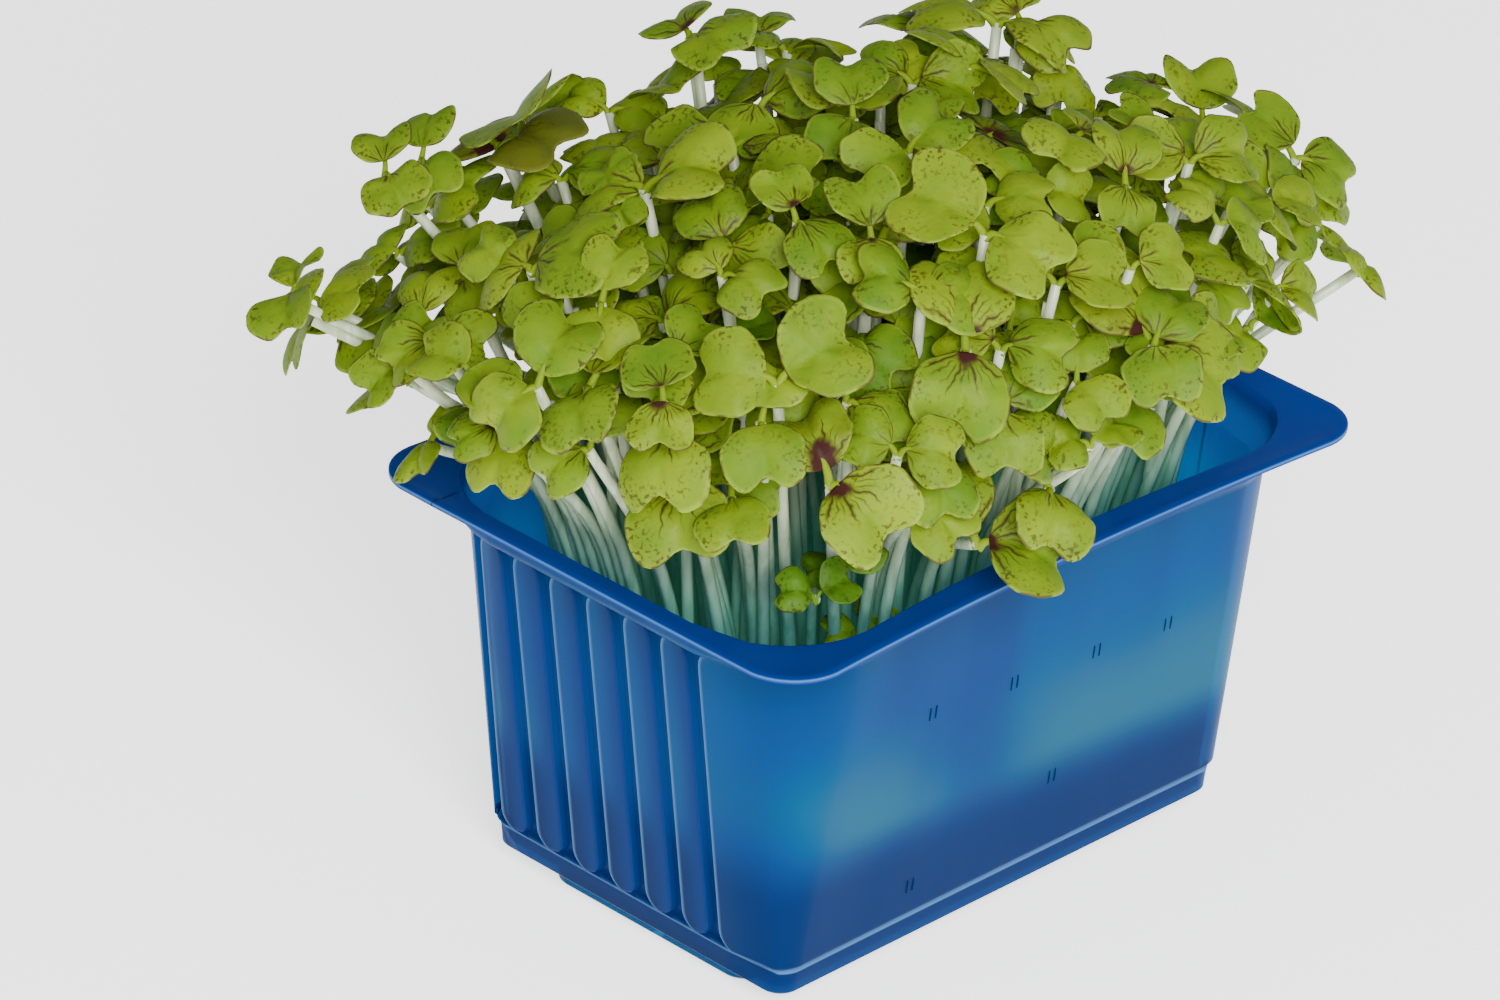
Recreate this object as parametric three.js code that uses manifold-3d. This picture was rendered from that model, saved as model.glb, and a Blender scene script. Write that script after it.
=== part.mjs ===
// A tray of young cress seedlings: a thin blue moulded tray, a growing mat, a felt of roots with
// its stems, and the pairs of heart-shaped seed leaves on top.
// Millimetres, +Z up. The origin is the middle of the tray's foot, on the surface it stands on.
// X runs along the tray's long axis. Its fluted short sides face -X and +X.

import * as THREE from 'three';
import Module from 'manifold-3d';

const wasm = await Module();
wasm.setup();

// Tray
const HEIGHT = 65;
const SKIN = 0.9;
const FOOT = { halfL: 43.3, halfW: 20.5, radius: 4, height: 3 };
const PLINTH = { halfL: 45.6, halfW: 29.9, radius: 3.5, top: 7.2, spread: 0.4 };
const PANEL = { bottom: 8.1, top: 58.6, low: { halfL: 47.2, halfW: 30.9, radius: 5 },
  high: { halfL: 54.0, halfW: 36.8, radius: 15.5 }, relief: 1.2, corner: 2.4 };
const SHOULDER = { bottom: 60.4, halfL: 56.2, halfW: 37.9, radius: 17 };
const FLANGE = { halfL: 60, halfW: 43.6, radius: 9, thickness: 0.9 };
const SIDE_BOW = 1.8;
const GROOVE = { count: 7, pitch: 7.55, middle: 4.6, width: 1.5, bevel: 0.35 };
const END_STRIP = 28.9;

// Growing mat and root felt
const GAP = 0.3;
const MAT_TOP = 21;
const MAT_SWELL = 1.0;
const FELT = 2.4;

// Seedlings
const STEM_RADIUS = 1.05;
const STEM_TIP_RADIUS = 0.8;
const HUB_RADIUS = 0.9;
const STEM_GAP = 1.6;
const BLADE_LENGTH = 12.6;
const BLADE_HALF_WIDTH = 8.2;
const BLADE_THICKNESS = 0.85;
const CLEARANCE = 0.35;
const CANOPY = { halfL: 66, halfW: 54, crown: 114, edgeDrop: 27, curve: 2.2 };
const TOP_HEADS = 56;
const UNDER_HEADS = 14;
const TOP_SPACING = 12.2;
const UNDER_SPACING = 12.5;
const UNDER_DEPTH = 13;
const SEED = 20261;

// Heads that stand where the eye finds them, from the left round to the front:
// x, y, z of the bud, the turn of its first leaf in degrees, and its size
const PLACED_HEADS = [
  [-45, 57, 78, 80, 1.1], [-56, 38, 83, 20, 0.9], [-53, 60, 87, -20, 0.9], [-36, 56, 95, 10, 0.95],
  [-30, 49, 91, 200, 1.15], [-24, 50, 99, 60, 1.2], [-15, 45, 101, 70, 0.85], [-6, 42, 102, 150, 0.9],
  [2, 37, 107, 75, 1.15], [13, 33, 108, 20, 0.9], [6, 14, 114, 90, 1.2], [-14, 17, 112, 0, 1.0],
  [-24, 5, 112, 100, 1.1], [27, 20, 113, 170, 1.0], [36, 13, 115, 60, 1.1], [44, 9, 110, 30, 0.9],
  [12, -8, 114, 95, 1.25], [50, 22, 102, 140, 0.95], [57, -4, 101, 85, 1.05], [66, -17, 92, 60, 1.1],
  [69, -31, 88, 10, 0.8], [36, -38, 95, -60, 1.0], [10, -44, 96, -75, 1.15], [-11, -45, 81, 70, 0.95],
  [-22, -42, 75, -100, 1.1], [-30, -37, 84, -45, 0.75], [-20, -36, 100, 80, 1.1], [-45, -35, 90, -40, 1.05],
  [-46, -25, 97, 85, 1.05], [-53, -13, 85, -90, 1.1], [-55, -14, 96, 10, 1.0], [-58, 0, 93, -80, 0.95],
  [-60, 12, 90, -100, 1.15], [-51, 19, 99, 50, 1.1], [-61, 29, 83, -30, 0.8], [60, 14, 96, -20, 1.0],
];

// Small seedlings that stay low behind the rim
const LOW_HEADS = [
  [-42.7, -31, 64, 40, 0.5], [-35.2, -28.1, 64, -30, 0.55], [-27.6, -25.3, 65, 60, 0.5], [19.3, -28.6, 72, 20, 0.6],
  [21.4, -34.5, 71, 80, 0.5], [-18.5, -23.4, 72, -20, 0.6], [-48, 28.2, 72, 50, 0.55], [43, 26, 72, 10, 0.6],
];

// Numbers from 0 to 1 in a fixed order, so that every build is the same
function randomSource(seed) {
  let state = seed >>> 0;
  return () => {
    state = (state + 0x6d2b79f5) >>> 0;
    let t = state;
    t = Math.imul(t ^ (t >>> 15), t | 1);
    t ^= t + Math.imul(t ^ (t >>> 7), t | 61);
    return ((t ^ (t >>> 14)) >>> 0) / 4294967296;
  };
}

const mix = (a, b, t) => a + (b - a) * t;
const clamp = (value, low, high) => Math.min(high, Math.max(low, value));

// The nearest spot in an oval with full corners, on the line to its middle
function within(x, y, halfL, halfW) {
  const reach = ((x / halfL) ** 4 + (y / halfW) ** 4) ** 0.25;
  return reach > 1 ? [x / reach, y / reach] : [x, y];
}

// Solids

function solid(points, faces) {
  const vertProperties = new Float32Array(points.flat());
  const triVerts = new Uint32Array(faces.flat());
  return new wasm.Manifold(new wasm.Mesh({ numProp: 3, vertProperties, triVerts }));
}

// Rings of equal length, from the lowest to the highest, closed by a fan at each end
function loft(rings) {
  const count = rings[0].length;
  const points = rings.flat();
  const faces = [];
  for (let r = 0; r + 1 < rings.length; r++) {
    for (let i = 0; i < count; i++) {
      const a = r * count + i;
      const b = r * count + (i + 1) % count;
      faces.push([a, b, b + count], [a, b + count, a + count]);
    }
  }
  const middle = (ring) => [0, 1, 2].map((k) => ring.reduce((sum, p) => sum + p[k], 0) / count);
  const low = points.length;
  points.push(middle(rings[0]), middle(rings[rings.length - 1]));
  const last = (rings.length - 1) * count;
  for (let i = 0; i < count; i++) {
    const j = (i + 1) % count;
    faces.push([low, j, i], [low + 1, last + i, last + j]);
  }
  return solid(points, faces);
}

function meshData(manifold) {
  const mesh = manifold.getMesh();
  const points = [];
  for (let i = 0; i < mesh.vertProperties.length; i += mesh.numProp) {
    points.push([mesh.vertProperties[i], mesh.vertProperties[i + 1], mesh.vertProperties[i + 2]]);
  }
  const faces = [];
  for (let i = 0; i < mesh.triVerts.length; i += 3) {
    faces.push([mesh.triVerts[i], mesh.triVerts[i + 1], mesh.triVerts[i + 2]]);
  }
  return { points, faces };
}

// The largest piece of a solid that cuts have left in several, without the loose scraps
function largestPiece(manifold) {
  const { points, faces } = meshData(manifold);
  const owner = points.map((_, i) => i);
  const find = (i) => {
    while (owner[i] !== i) {
      owner[i] = owner[owner[i]];
      i = owner[i];
    }
    return i;
  };
  for (const [a, b, c] of faces) {
    owner[find(a)] = find(b);
    owner[find(b)] = find(c);
  }
  const volumes = new Map();
  for (const [a, b, c] of faces) {
    const [p, q, r] = [points[a], points[b], points[c]];
    const six = p[0] * (q[1] * r[2] - q[2] * r[1]) + p[1] * (q[2] * r[0] - q[0] * r[2])
      + p[2] * (q[0] * r[1] - q[1] * r[0]);
    volumes.set(find(a), (volumes.get(find(a)) ?? 0) + six / 6);
  }
  const [best] = [...volumes].reduce((a, b) => (b[1] > a[1] ? b : a));
  const kept = faces.filter(([a]) => find(a) === best);
  const index = new Map();
  const used = [];
  const renumber = (i) => {
    if (!index.has(i)) {
      index.set(i, used.length);
      used.push(points[i]);
    }
    return index.get(i);
  };
  return solid(used, kept.map((face) => face.map(renumber)));
}

function geometry(manifold) {
  const { points, faces } = meshData(manifold);
  const shape = new THREE.BufferGeometry();
  shape.setAttribute('position', new THREE.Float32BufferAttribute(points.flat(), 3));
  shape.setIndex(faces.flat());
  return shape;
}

// The tray

// How far out a short side lies at a given y, on a rectangle with rounded corners
function sideX(box, y) {
  const into = Math.abs(y) - (box.halfW - box.radius);
  return into <= 0 ? box.halfL : box.halfL - box.radius + Math.sqrt(Math.max(box.radius ** 2 - into ** 2, 0));
}

// The y of every point down one short side, and how deep each lies in a groove (0 or 1)
function sideStops(grooved, widen) {
  const stops = [[END_STRIP, 0]];
  for (let k = 0; k < (grooved ? GROOVE.count : 0); k++) {
    const y = GROOVE.middle + GROOVE.pitch * ((GROOVE.count - 1) / 2 - k);
    const half = GROOVE.width / 2 + widen;
    stops.push([y + half + GROOVE.bevel, 0], [y + half, 1], [y - half, 1], [y - half - GROOVE.bevel, 0]);
  }
  if (!grooved) {
    stops.push([0, 0]);
  }
  stops.push([-END_STRIP, 0]);
  return stops;
}

// One level of the tray: a rounded rectangle whose long sides bow in by `bow`, and whose short
// sides are cut `depth` deep at the grooves
function level(box, z, { bow = 0, depth = 0, grooved = true, widen = 0 } = {}) {
  const fit = box.halfW - 0.3 * box.radius < END_STRIP ? (box.halfW - box.radius) / END_STRIP : 1;
  const stops = sideStops(grooved, widen).map(([y, inside]) => [y * fit, inside]);
  const into = (END_STRIP * fit - (box.halfW - box.radius)) / box.radius;
  const start = Math.asin(clamp(into, 0, 1));
  const cornerX = box.halfL - box.radius;
  const cornerY = box.halfW - box.radius;
  const ring = [];
  const arcSteps = 5;
  const bowSteps = 8;
  const corner = (sx, sy, forward) => {
    for (let i = 0; i < arcSteps; i++) {
      const t = forward ? (i + 1) / arcSteps : 1 - i / arcSteps;
      const angle = mix(start, Math.PI / 2, t);
      ring.push([sx * (cornerX + box.radius * Math.cos(angle)), sy * (cornerY + box.radius * Math.sin(angle)), z]);
    }
  };
  const longSide = (sx, sy) => {
    for (let i = 1; i < bowSteps; i++) {
      const x = mix(sx, -sx, i / bowSteps);
      ring.push([x * cornerX, sy * (box.halfW - bow * (1 - x * x)), z]);
    }
  };
  const shortSide = (sx, list) => {
    for (const [y, inside] of list) {
      ring.push([sx * (sideX(box, y) - depth * inside), y, z]);
    }
  };
  corner(1, 1, true);
  longSide(1, 1);
  corner(-1, 1, false);
  shortSide(-1, stops);
  corner(-1, -1, true);
  longSide(-1, -1);
  corner(1, -1, false);
  shortSide(1, [...stops].reverse());
  return ring;
}

function panelBox(z) {
  const t = (z - PANEL.bottom) / (PANEL.top - PANEL.bottom);
  const side = (name) => mix(PANEL.low[name], PANEL.high[name], t);
  return { halfL: side('halfL'), halfW: side('halfW'), radius: side('radius') };
}

function inset(box, by) {
  return { halfL: box.halfL - by, halfW: box.halfW - by, radius: Math.max(box.radius - by, 1.2) };
}

const bowAt = (z) => SIDE_BOW * clamp(z / HEIGHT, 0, 1);

function makeTray() {
  const flutes = (z, widen) => level(panelBox(z), z, { bow: bowAt(z), depth: PANEL.relief, widen });
  const flat = (box, z) => level(box, z, { bow: bowAt(z) });
  const plinthTop = inset(PLINTH, -PLINTH.spread);
  const outer = loft([
    flat(FOOT, 0),
    flat(FOOT, FOOT.height),
    flat(PLINTH, FOOT.height),
    flat(plinthTop, PLINTH.top),
    flutes(PANEL.bottom, PANEL.corner),
    flutes(PANEL.bottom + PANEL.corner, 0),
    flutes(PANEL.top - PANEL.corner, 0),
    flutes(PANEL.top, PANEL.corner / 2),
    flat(SHOULDER, SHOULDER.bottom),
    flat(SHOULDER, HEIGHT - FLANGE.thickness),
    flat(FLANGE, HEIGHT - FLANGE.thickness),
    flat(FLANGE, HEIGHT),
  ]);
  const wallInset = PANEL.relief + SKIN;
  const plain = (box, z) => level(box, z, { bow: bowAt(z), grooved: false });
  const mouth = inset(SHOULDER, SKIN);
  const inner = loft([
    plain(inset(FOOT, SKIN), SKIN),
    plain(inset(FOOT, SKIN), FOOT.height + SKIN),
    plain(inset(PLINTH, SKIN), FOOT.height + SKIN),
    plain(inset(PLINTH, SKIN), PLINTH.top),
    plain(inset(panelBox(PANEL.top), wallInset), PANEL.top),
    plain(mouth, SHOULDER.bottom + SKIN),
    plain(inset(mouth, -0.5), HEIGHT + 1),
  ]);
  return outer.subtract(inner);
}

// The growing mat and the felt of roots on it

function matSwell(x, y) {
  return MAT_SWELL * (Math.sin(x / 15 + 0.8) * Math.cos(y / 12) - 0.8 * Math.sin(x / 9) * Math.sin(y / 14 + 0.5));
}

function cavityBox(z) {
  const t = clamp((z - PLINTH.top) / (PANEL.top - PLINTH.top), 0, 1);
  const low = inset(PLINTH, SKIN + GAP);
  const high = inset(panelBox(PANEL.top), PANEL.relief + SKIN + GAP);
  return {
    halfL: mix(low.halfL, high.halfL, t), halfW: mix(low.halfW, high.halfW, t), radius: mix(low.radius, high.radius, t),
  };
}

// A level of the mat, shrunk towards its middle, with its height following the swell
function matRing(z, shrink, swell) {
  return level(cavityBox(z - 4 * swell * MAT_SWELL), z, { bow: bowAt(z), grooved: false })
    .map(([x, y]) => [x * shrink, y * shrink, z + swell * matSwell(x * shrink, y * shrink)]);
}

function makeMat() {
  const floor = FOOT.height + SKIN + GAP;
  const pad = inset(FOOT, SKIN + GAP);
  const padLevel = (z) => level(pad, z, { grooved: false });
  return loft([
    padLevel(SKIN + GAP),
    padLevel(floor),
    matRing(floor, 1, 0),
    matRing(PLINTH.top, 1, 0),
    matRing(MAT_TOP, 1, 1),
    matRing(MAT_TOP, 0.72, 1),
    matRing(MAT_TOP, 0.4, 1),
  ]);
}

function makeFelt() {
  const low = MAT_TOP + GAP;
  return loft([
    matRing(low, 0.4, 1),
    matRing(low, 0.72, 1),
    matRing(low, 0.985, 1),
    matRing(low + FELT, 0.975, 1),
    matRing(low + FELT, 0.72, 1),
    matRing(low + FELT, 0.4, 1),
  ]);
}

// Where the seedlings stand

function canopyHeight(x, y) {
  const reach = Math.hypot(x / CANOPY.halfL, y / CANOPY.halfW);
  return CANOPY.crown - CANOPY.edgeDrop * reach ** CANOPY.curve;
}

// The way a head faces: outwards from the crown of the canopy, with a random lean
function facing(x, y, lean, leanAngle) {
  const out = new THREE.Vector3(0.95 * x / CANOPY.halfL, 0.95 * y / CANOPY.halfW, 1);
  out.x += lean * Math.cos(leanAngle);
  out.y += lean * Math.sin(leanAngle);
  return out.normalize();
}

// Every seedling grows from the mat below its head, drawn in towards the middle of the tray
function rootOf(x, y, random) {
  const rx = x * 0.66 + (random() - 0.5) * 9;
  const ry = y * 0.56 + (random() - 0.5) * 8;
  return within(rx, ry, 43, 27);
}

function seedling(x, y, z, turn, size, random) {
  const lean = 0.1 + 0.32 * random();
  const leanAngle = 2 * Math.PI * random();
  const root = rootOf(x, y, random);
  const second = 0.8 + 0.2 * random();
  const spread = 2.35 + 0.7 * random();
  const fold = -0.3 + 0.75 * random();
  const droop = 0.1 + 0.6 * random();
  const face = facing(x, y, lean, leanAngle);
  const hub = new THREE.Vector3(x, y, z);
  return { hub, root, face, turn, size, second, spread, fold, droop, tip: STEM_GAP };
}

const farFrom = (list, x, y, spacing) => list.every(({ hub }) => Math.hypot(hub.x - x, hub.y - y) > spacing);

// Heads spread like a sunflower's seeds over an oval, each shaken a little, where there is room
function scatter(list, wanted, spacing, depth, reach, random) {
  const goal = list.length + wanted;
  let gap = spacing;
  while (list.length < goal && gap > 3) {
    for (let i = 0; i < 220 && list.length < goal; i++) {
      const radius = reach * Math.sqrt((i + 0.5) / 220);
      const angle = i * 2.399963;
      const x = CANOPY.halfL * radius * Math.cos(angle) + 4 * (random() - 0.5);
      const y = CANOPY.halfW * radius * Math.sin(angle) + 4 * (random() - 0.5);
      const z = canopyHeight(x, y) - depth + 5 * (random() - 0.5);
      const turn = 360 * random();
      const size = 0.85 + 0.3 * random();
      if (farFrom(list, x, y, gap)) {
        list.push(seedling(x, y, z, turn, size, random));
      }
    }
    gap -= 1;
  }
  return list;
}

// Points that stand for a plant's two leaves, and for the upper part of its stem
function leafSamples(plant) {
  const points = [];
  for (const which of [0, 1]) {
    const leaf = leafOf(plant, which);
    for (const u of [0.05, 0.4, 0.8]) {
      for (const v of [-0.72, 0, 0.72]) {
        points.push(leafPoint(plant, leaf, u * BLADE_LENGTH * leaf.size, v * BLADE_HALF_WIDTH * leaf.size, 0));
      }
    }
  }
  return points;
}

function stemSamples(plant) {
  const [, , mouth, top] = stemPath(plant).map((p) => p.toArray());
  return [0, 0.2, 0.4, 0.6, 0.8].map((t) => [0, 1, 2].map((k) => mix(mouth[k], top[k], t)));
}

function crowding(mine, others, reach) {
  let sum = 0;
  for (const [x, y, z] of mine) {
    for (const [a, b, c] of others) {
      const gap = Math.hypot(x - a, y - b, z - c);
      sum += gap < reach ? (reach - gap) ** 2 : 0;
    }
  }
  return sum;
}

// How far a plant's leaves hang into the rim of the tray
function hanging(points) {
  let sum = 0;
  for (const [x, y, z] of points) {
    const over = Math.abs(x) > 50 || Math.abs(y) > 31;
    sum += over && z < HEIGHT + 3.5 ? HEIGHT + 3.5 - z : 0;
  }
  return sum;
}

// One after another the heads turn, rise or sink a little, to where their leaves are clear of the
// leaves and stems that stand already
function settle(plants) {
  const leaves = [];
  const stems = [];
  for (const plant of plants) {
    const { turn } = plant;
    const { z } = plant.hub;
    let best = [Infinity, 0, 0];
    for (const rise of [0, 2.5, -2.5, 5, -5, 7.5, -7.5, -10]) {
      for (const swing of [0, 25, -25, 50, -50, 80, -80]) {
        plant.hub.z = z + rise;
        plant.turn = turn + swing;
        const blades = leafSamples(plant);
        const cost = crowding(blades, leaves, 5) + crowding(blades, stems, 4) + 20 * hanging(blades)
          + crowding(stemSamples(plant), leaves, 4) + 0.02 * Math.abs(rise) + 0.001 * Math.abs(swing);
        if (cost < best[0]) {
          best = [cost, rise, swing];
        }
      }
    }
    plant.hub.z = z + best[1];
    plant.turn = turn + best[2];
    leaves.push(...leafSamples(plant));
    stems.push(...stemSamples(plant));
  }
  return plants;
}

// Leaves

// The edge of a seed leaf: an oval with a notch at its tip. `around` is 0 at the tip and pi at
// the leaf's base.
function outline(around) {
  const notch = 1 - 0.48 * Math.exp(-((around / 0.38) ** 2));
  const reach = Math.cos(around) > 0 ? 0.54 * notch : 0.46;
  return [0.46 + reach * Math.cos(around), Math.sin(around)];
}

const EDGE_STOPS = [-142, -88, -38, 0, 38, 88, 142].map((degrees) => degrees * Math.PI / 180);

// A leaf bends down along its length, and its halves fold about the midrib
function bend(along, across, leaf) {
  const rise = leaf.fold * (Math.sqrt(across * across + 1.4) - 1.18);
  return rise - leaf.droop * along * along / 16;
}

function leafFrame(plant, which) {
  const flat = new THREE.Vector3(0, 0, 1).cross(plant.face).normalize();
  const up = plant.face.clone().cross(flat);
  const angle = plant.turn * Math.PI / 180 + (which ? plant.spread : 0);
  const along = flat.multiplyScalar(Math.cos(angle)).addScaledVector(up, Math.sin(angle));
  const across = plant.face.clone().cross(along);
  return { along, across, face: plant.face };
}

function leafOf(plant, which) {
  const size = plant.size * (which ? plant.second : 1);
  return { size, fold: which ? plant.fold * 0.7 : plant.fold, droop: which ? plant.droop * 1.2 : plant.droop,
    stalk: 3.4 * plant.size, frame: leafFrame(plant, which) };
}

function leafPoint(plant, leaf, along, across, lift) {
  const { frame } = leaf;
  return plant.hub.clone()
    .addScaledVector(frame.along, leaf.stalk + along)
    .addScaledVector(frame.across, across)
    .addScaledVector(frame.face, 1 + bend(along, across, leaf) + lift)
    .toArray();
}

// The spots of one leaf's edge in order, from one side of its base round the tip to the other
function leafEdge(leaf, grow) {
  return EDGE_STOPS.map((around) => {
    const [u, v] = outline(around);
    const reach = u * BLADE_LENGTH * leaf.size + grow * Math.cos(around);
    return [reach, v * BLADE_HALF_WIDTH * leaf.size + grow * Math.sin(around)];
  });
}

// A pair of leaves with their stalks is one thin sheet, closed round its edge: the first leaf,
// one side of the hub, the second leaf, the other side of the hub, and the middle of each leaf
function makeHead(plant, grow = 0) {
  const half = BLADE_THICKNESS / 2 + grow;
  const leaves = [leafOf(plant, 0), leafOf(plant, 1)];
  const between = leaves[0].frame.along.clone().add(leaves[1].frame.along);
  between.addScaledVector(leaves[0].frame.across, 0.01).normalize();
  const side = (sign, lift) => plant.hub.clone().addScaledVector(between, sign * (HUB_RADIUS + grow))
    .addScaledVector(plant.face, 0.3 + lift).toArray();
  const sheet = (lift) => {
    const [first, second] = leaves.map((leaf) => leafEdge(leaf, grow)
      .map(([u, v]) => leafPoint(plant, leaf, u, v, lift)));
    const middles = leaves.map((leaf) => leafPoint(plant, leaf, 0.42 * BLADE_LENGTH * leaf.size, 0, lift));
    return [...first, side(1, lift), ...second, side(-1, lift), ...middles];
  };
  const points = [...sheet(-half), ...sheet(half)];
  const edge = 2 * EDGE_STOPS.length + 2;
  const last = EDGE_STOPS.length - 1;
  const layer = points.length / 2;
  const faces = [];
  const both = (p, q, r) => faces.push([layer + p, layer + q, layer + r], [r, q, p]);
  for (const which of [0, 1]) {
    const start = which * (last + 2);
    const end = start + last;
    const next = end + 1;
    const back = (start + edge - 1) % edge;
    for (let i = start; i < end; i++) {
      both(edge + which, i, i + 1);
    }
    both(edge + which, end, start);
    both(end, next, back);
    both(end, back, start);
  }
  for (let i = 0; i < edge; i++) {
    const j = (i + 1) % edge;
    faces.push([i, j, layer + j], [i, layer + j, layer + i]);
  }
  return solid(points, faces);
}

// Stems

// The stem leaves the mat upright, passes the mouth of the tray and leans out to its head
function stemPath(plant) {
  const [rx, ry] = plant.root;
  const { x, y, z } = plant.hub;
  const [mouthX, mouthY] = within(mix(rx, x, 0.45), mix(ry, y, 0.42), 50, 31.5);
  const base = MAT_TOP + GAP + FELT * 0.6 + matSwell(rx, ry);
  const mouth = Math.min(HEIGHT + 1.5, z - 7);
  return [
    new THREE.Vector3(rx, ry, base),
    new THREE.Vector3(mix(rx, mouthX, 0.3), mix(ry, mouthY, 0.3), mix(base, mouth, 0.52)),
    new THREE.Vector3(mouthX, mouthY, mouth),
    new THREE.Vector3(x, y, z - plant.tip),
  ];
}

function stem(plant, grow = 0) {
  const path = stemPath(plant);
  return loft(path.map(({ x, y, z }, i) => {
    const r = mix(STEM_RADIUS, STEM_TIP_RADIUS, i / (path.length - 1)) + grow;
    return [0, 1, 2].map((k) => {
      const angle = k * 2 * Math.PI / 3 + 0.3;
      return [x + r * Math.cos(angle), y + r * Math.sin(angle), z];
    });
  }));
}

// The whole crop

const random = randomSource(SEED);
const plantOf = ([x, y, z, turn, size]) => seedling(x, y, z, turn, size, random);
const placed = PLACED_HEADS.map(plantOf);
const tops = scatter(placed, TOP_HEADS - placed.length, TOP_SPACING, 0, 0.95, random);
const low = LOW_HEADS.map(plantOf);
const unders = scatter(low, UNDER_HEADS - low.length, UNDER_SPACING, UNDER_DEPTH, 0.8, random);
unders.forEach((plant) => {
  plant.tip = -0.3;
});
const everyone = settle([...tops, ...unders]);

const near = (a, b, reach) => a.hub.distanceTo(b.hub) < reach;

// What another plant's stem can touch of a head
function stemPasses(plant, head) {
  const [, , mouth, top] = stemPath(plant);
  return [0, 0.25, 0.5, 0.75, 1].some((t) => mouth.clone().lerp(top, t).distanceTo(head.hub) < 24);
}

function makeTopHeads() {
  const grown = tops.map((plant) => makeHead(plant, CLEARANCE));
  return tops.map((plant, i) => {
    let head = makeHead(plant);
    for (const other of everyone) {
      if (other !== plant && stemPasses(other, plant)) {
        head = head.subtract(stem(other, CLEARANCE));
      }
    }
    for (let k = 0; k < i; k++) {
      if (near(plant, tops[k], 44)) {
        head = head.subtract(grown[k]);
      }
    }
    return largestPiece(head);
  });
}

// The felt, every stem, and the leaves under the canopy, which their stems carry
function makeSeedlings() {
  let all = makeFelt();
  for (const plant of everyone) {
    all = all.add(stem(plant));
  }
  for (const plant of unders) {
    let head = makeHead(plant);
    for (const other of tops) {
      if (near(plant, other, 44)) {
        head = head.subtract(makeHead(other, CLEARANCE));
      }
    }
    all = all.add(head);
  }
  return largestPiece(all);
}

// Finishes

const BLUE = new THREE.MeshStandardMaterial({ color: 0x0a4aa0, roughness: 0.3, transparent: true, opacity: 0.75 });
const PEAT = new THREE.MeshStandardMaterial({ color: 0x33281d, roughness: 0.95 });
const PALE = new THREE.MeshStandardMaterial({ color: 0xcfdcb4, roughness: 0.55 });
const LEAF = new THREE.MeshStandardMaterial({ color: 0x8ba31e, roughness: 0.5 });

const tray = new THREE.Group();

function place(name, manifold, material) {
  const mesh = new THREE.Mesh(geometry(manifold), material);
  mesh.name = name;
  tray.add(mesh);
}

place('tray', makeTray(), BLUE);
place('growing_mat', makeMat(), PEAT);
place('seedlings', makeSeedlings(), PALE);
makeTopHeads().forEach((head, i) => {
  place(`leaf_pair_${String(i + 1).padStart(2, '0')}`, head, LEAF);
});

export default tray;
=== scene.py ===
# %% [markdown]
# A tray of microgreens
#
# A thin blue plastic punnet holds a dark growing mat, a felt of roots and a dense crop of young
# seedlings. Each seedling is a pale stem that carries a pair of heart-shaped seed leaves. This
# lesson sets up the camera, shapes every piece as a surface worked out with numpy around the packed
# model, gives each a procedural finish, and lights it softly on a pale floor.

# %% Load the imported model
import math

import bpy
import numpy as np
from mathutils import Matrix


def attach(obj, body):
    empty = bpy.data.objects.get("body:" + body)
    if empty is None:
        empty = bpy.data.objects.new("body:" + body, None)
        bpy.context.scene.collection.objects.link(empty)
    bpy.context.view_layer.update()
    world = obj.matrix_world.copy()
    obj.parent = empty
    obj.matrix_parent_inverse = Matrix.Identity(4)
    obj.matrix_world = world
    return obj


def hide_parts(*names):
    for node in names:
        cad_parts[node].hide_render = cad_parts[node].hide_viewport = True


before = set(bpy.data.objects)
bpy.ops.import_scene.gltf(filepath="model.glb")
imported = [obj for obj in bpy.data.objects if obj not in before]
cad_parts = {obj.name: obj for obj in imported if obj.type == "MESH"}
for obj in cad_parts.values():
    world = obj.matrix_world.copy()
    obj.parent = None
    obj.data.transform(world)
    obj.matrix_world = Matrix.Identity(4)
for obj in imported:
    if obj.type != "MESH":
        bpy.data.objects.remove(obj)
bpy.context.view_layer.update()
MM = 0.001
print("packed model:", len(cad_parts), "nodes")

# %% [markdown]
# Camera
#
# A long lens looks down on the tray's near corner. The photograph was taken with a slight roll, so
# the camera's right and up directions are turned by that angle about its line of sight.

# %% Place the camera
AZIMUTH = math.radians(-45.7)
ELEVATION = math.radians(28.7)
ROLL = math.radians(2.2)
DISTANCE = 1.317
ASIDE = -0.0166
ABOVE = 0.0203
TARGET = np.array([0, 0, 0.0325])

back = np.array([
    math.sin(AZIMUTH) * math.cos(ELEVATION),
    -math.cos(AZIMUTH) * math.cos(ELEVATION),
    math.sin(ELEVATION),
])
level_right = np.array([math.cos(AZIMUTH), math.sin(AZIMUTH), 0])
level_up = np.cross(back, level_right)
right = math.cos(ROLL) * level_right + math.sin(ROLL) * level_up
up = math.cos(ROLL) * level_up - math.sin(ROLL) * level_right

pose = np.eye(4)
pose[:3] = np.stack([right, up, back, TARGET + back * DISTANCE + right * ASIDE + up * ABOVE], axis=1)
camera_data = bpy.data.cameras.new("camera")
camera_data.lens = 216
camera_data.sensor_width = 36
camera_data.clip_start = 0.05
camera = bpy.data.objects.new("camera", camera_data)
camera.matrix_world = Matrix(pose.tolist())
bpy.context.scene.collection.objects.link(camera)
bpy.context.scene.camera = camera
print("camera at", pose[:3, 3].round(3))

# %% [markdown]
# From arrays to meshes
#
# Points are worked out in millimetres as whole arrays. One helper closes a stack of rings to a skin,
# and another hands points and faces to Blender with foreach_set, which is quick for big meshes.

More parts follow.
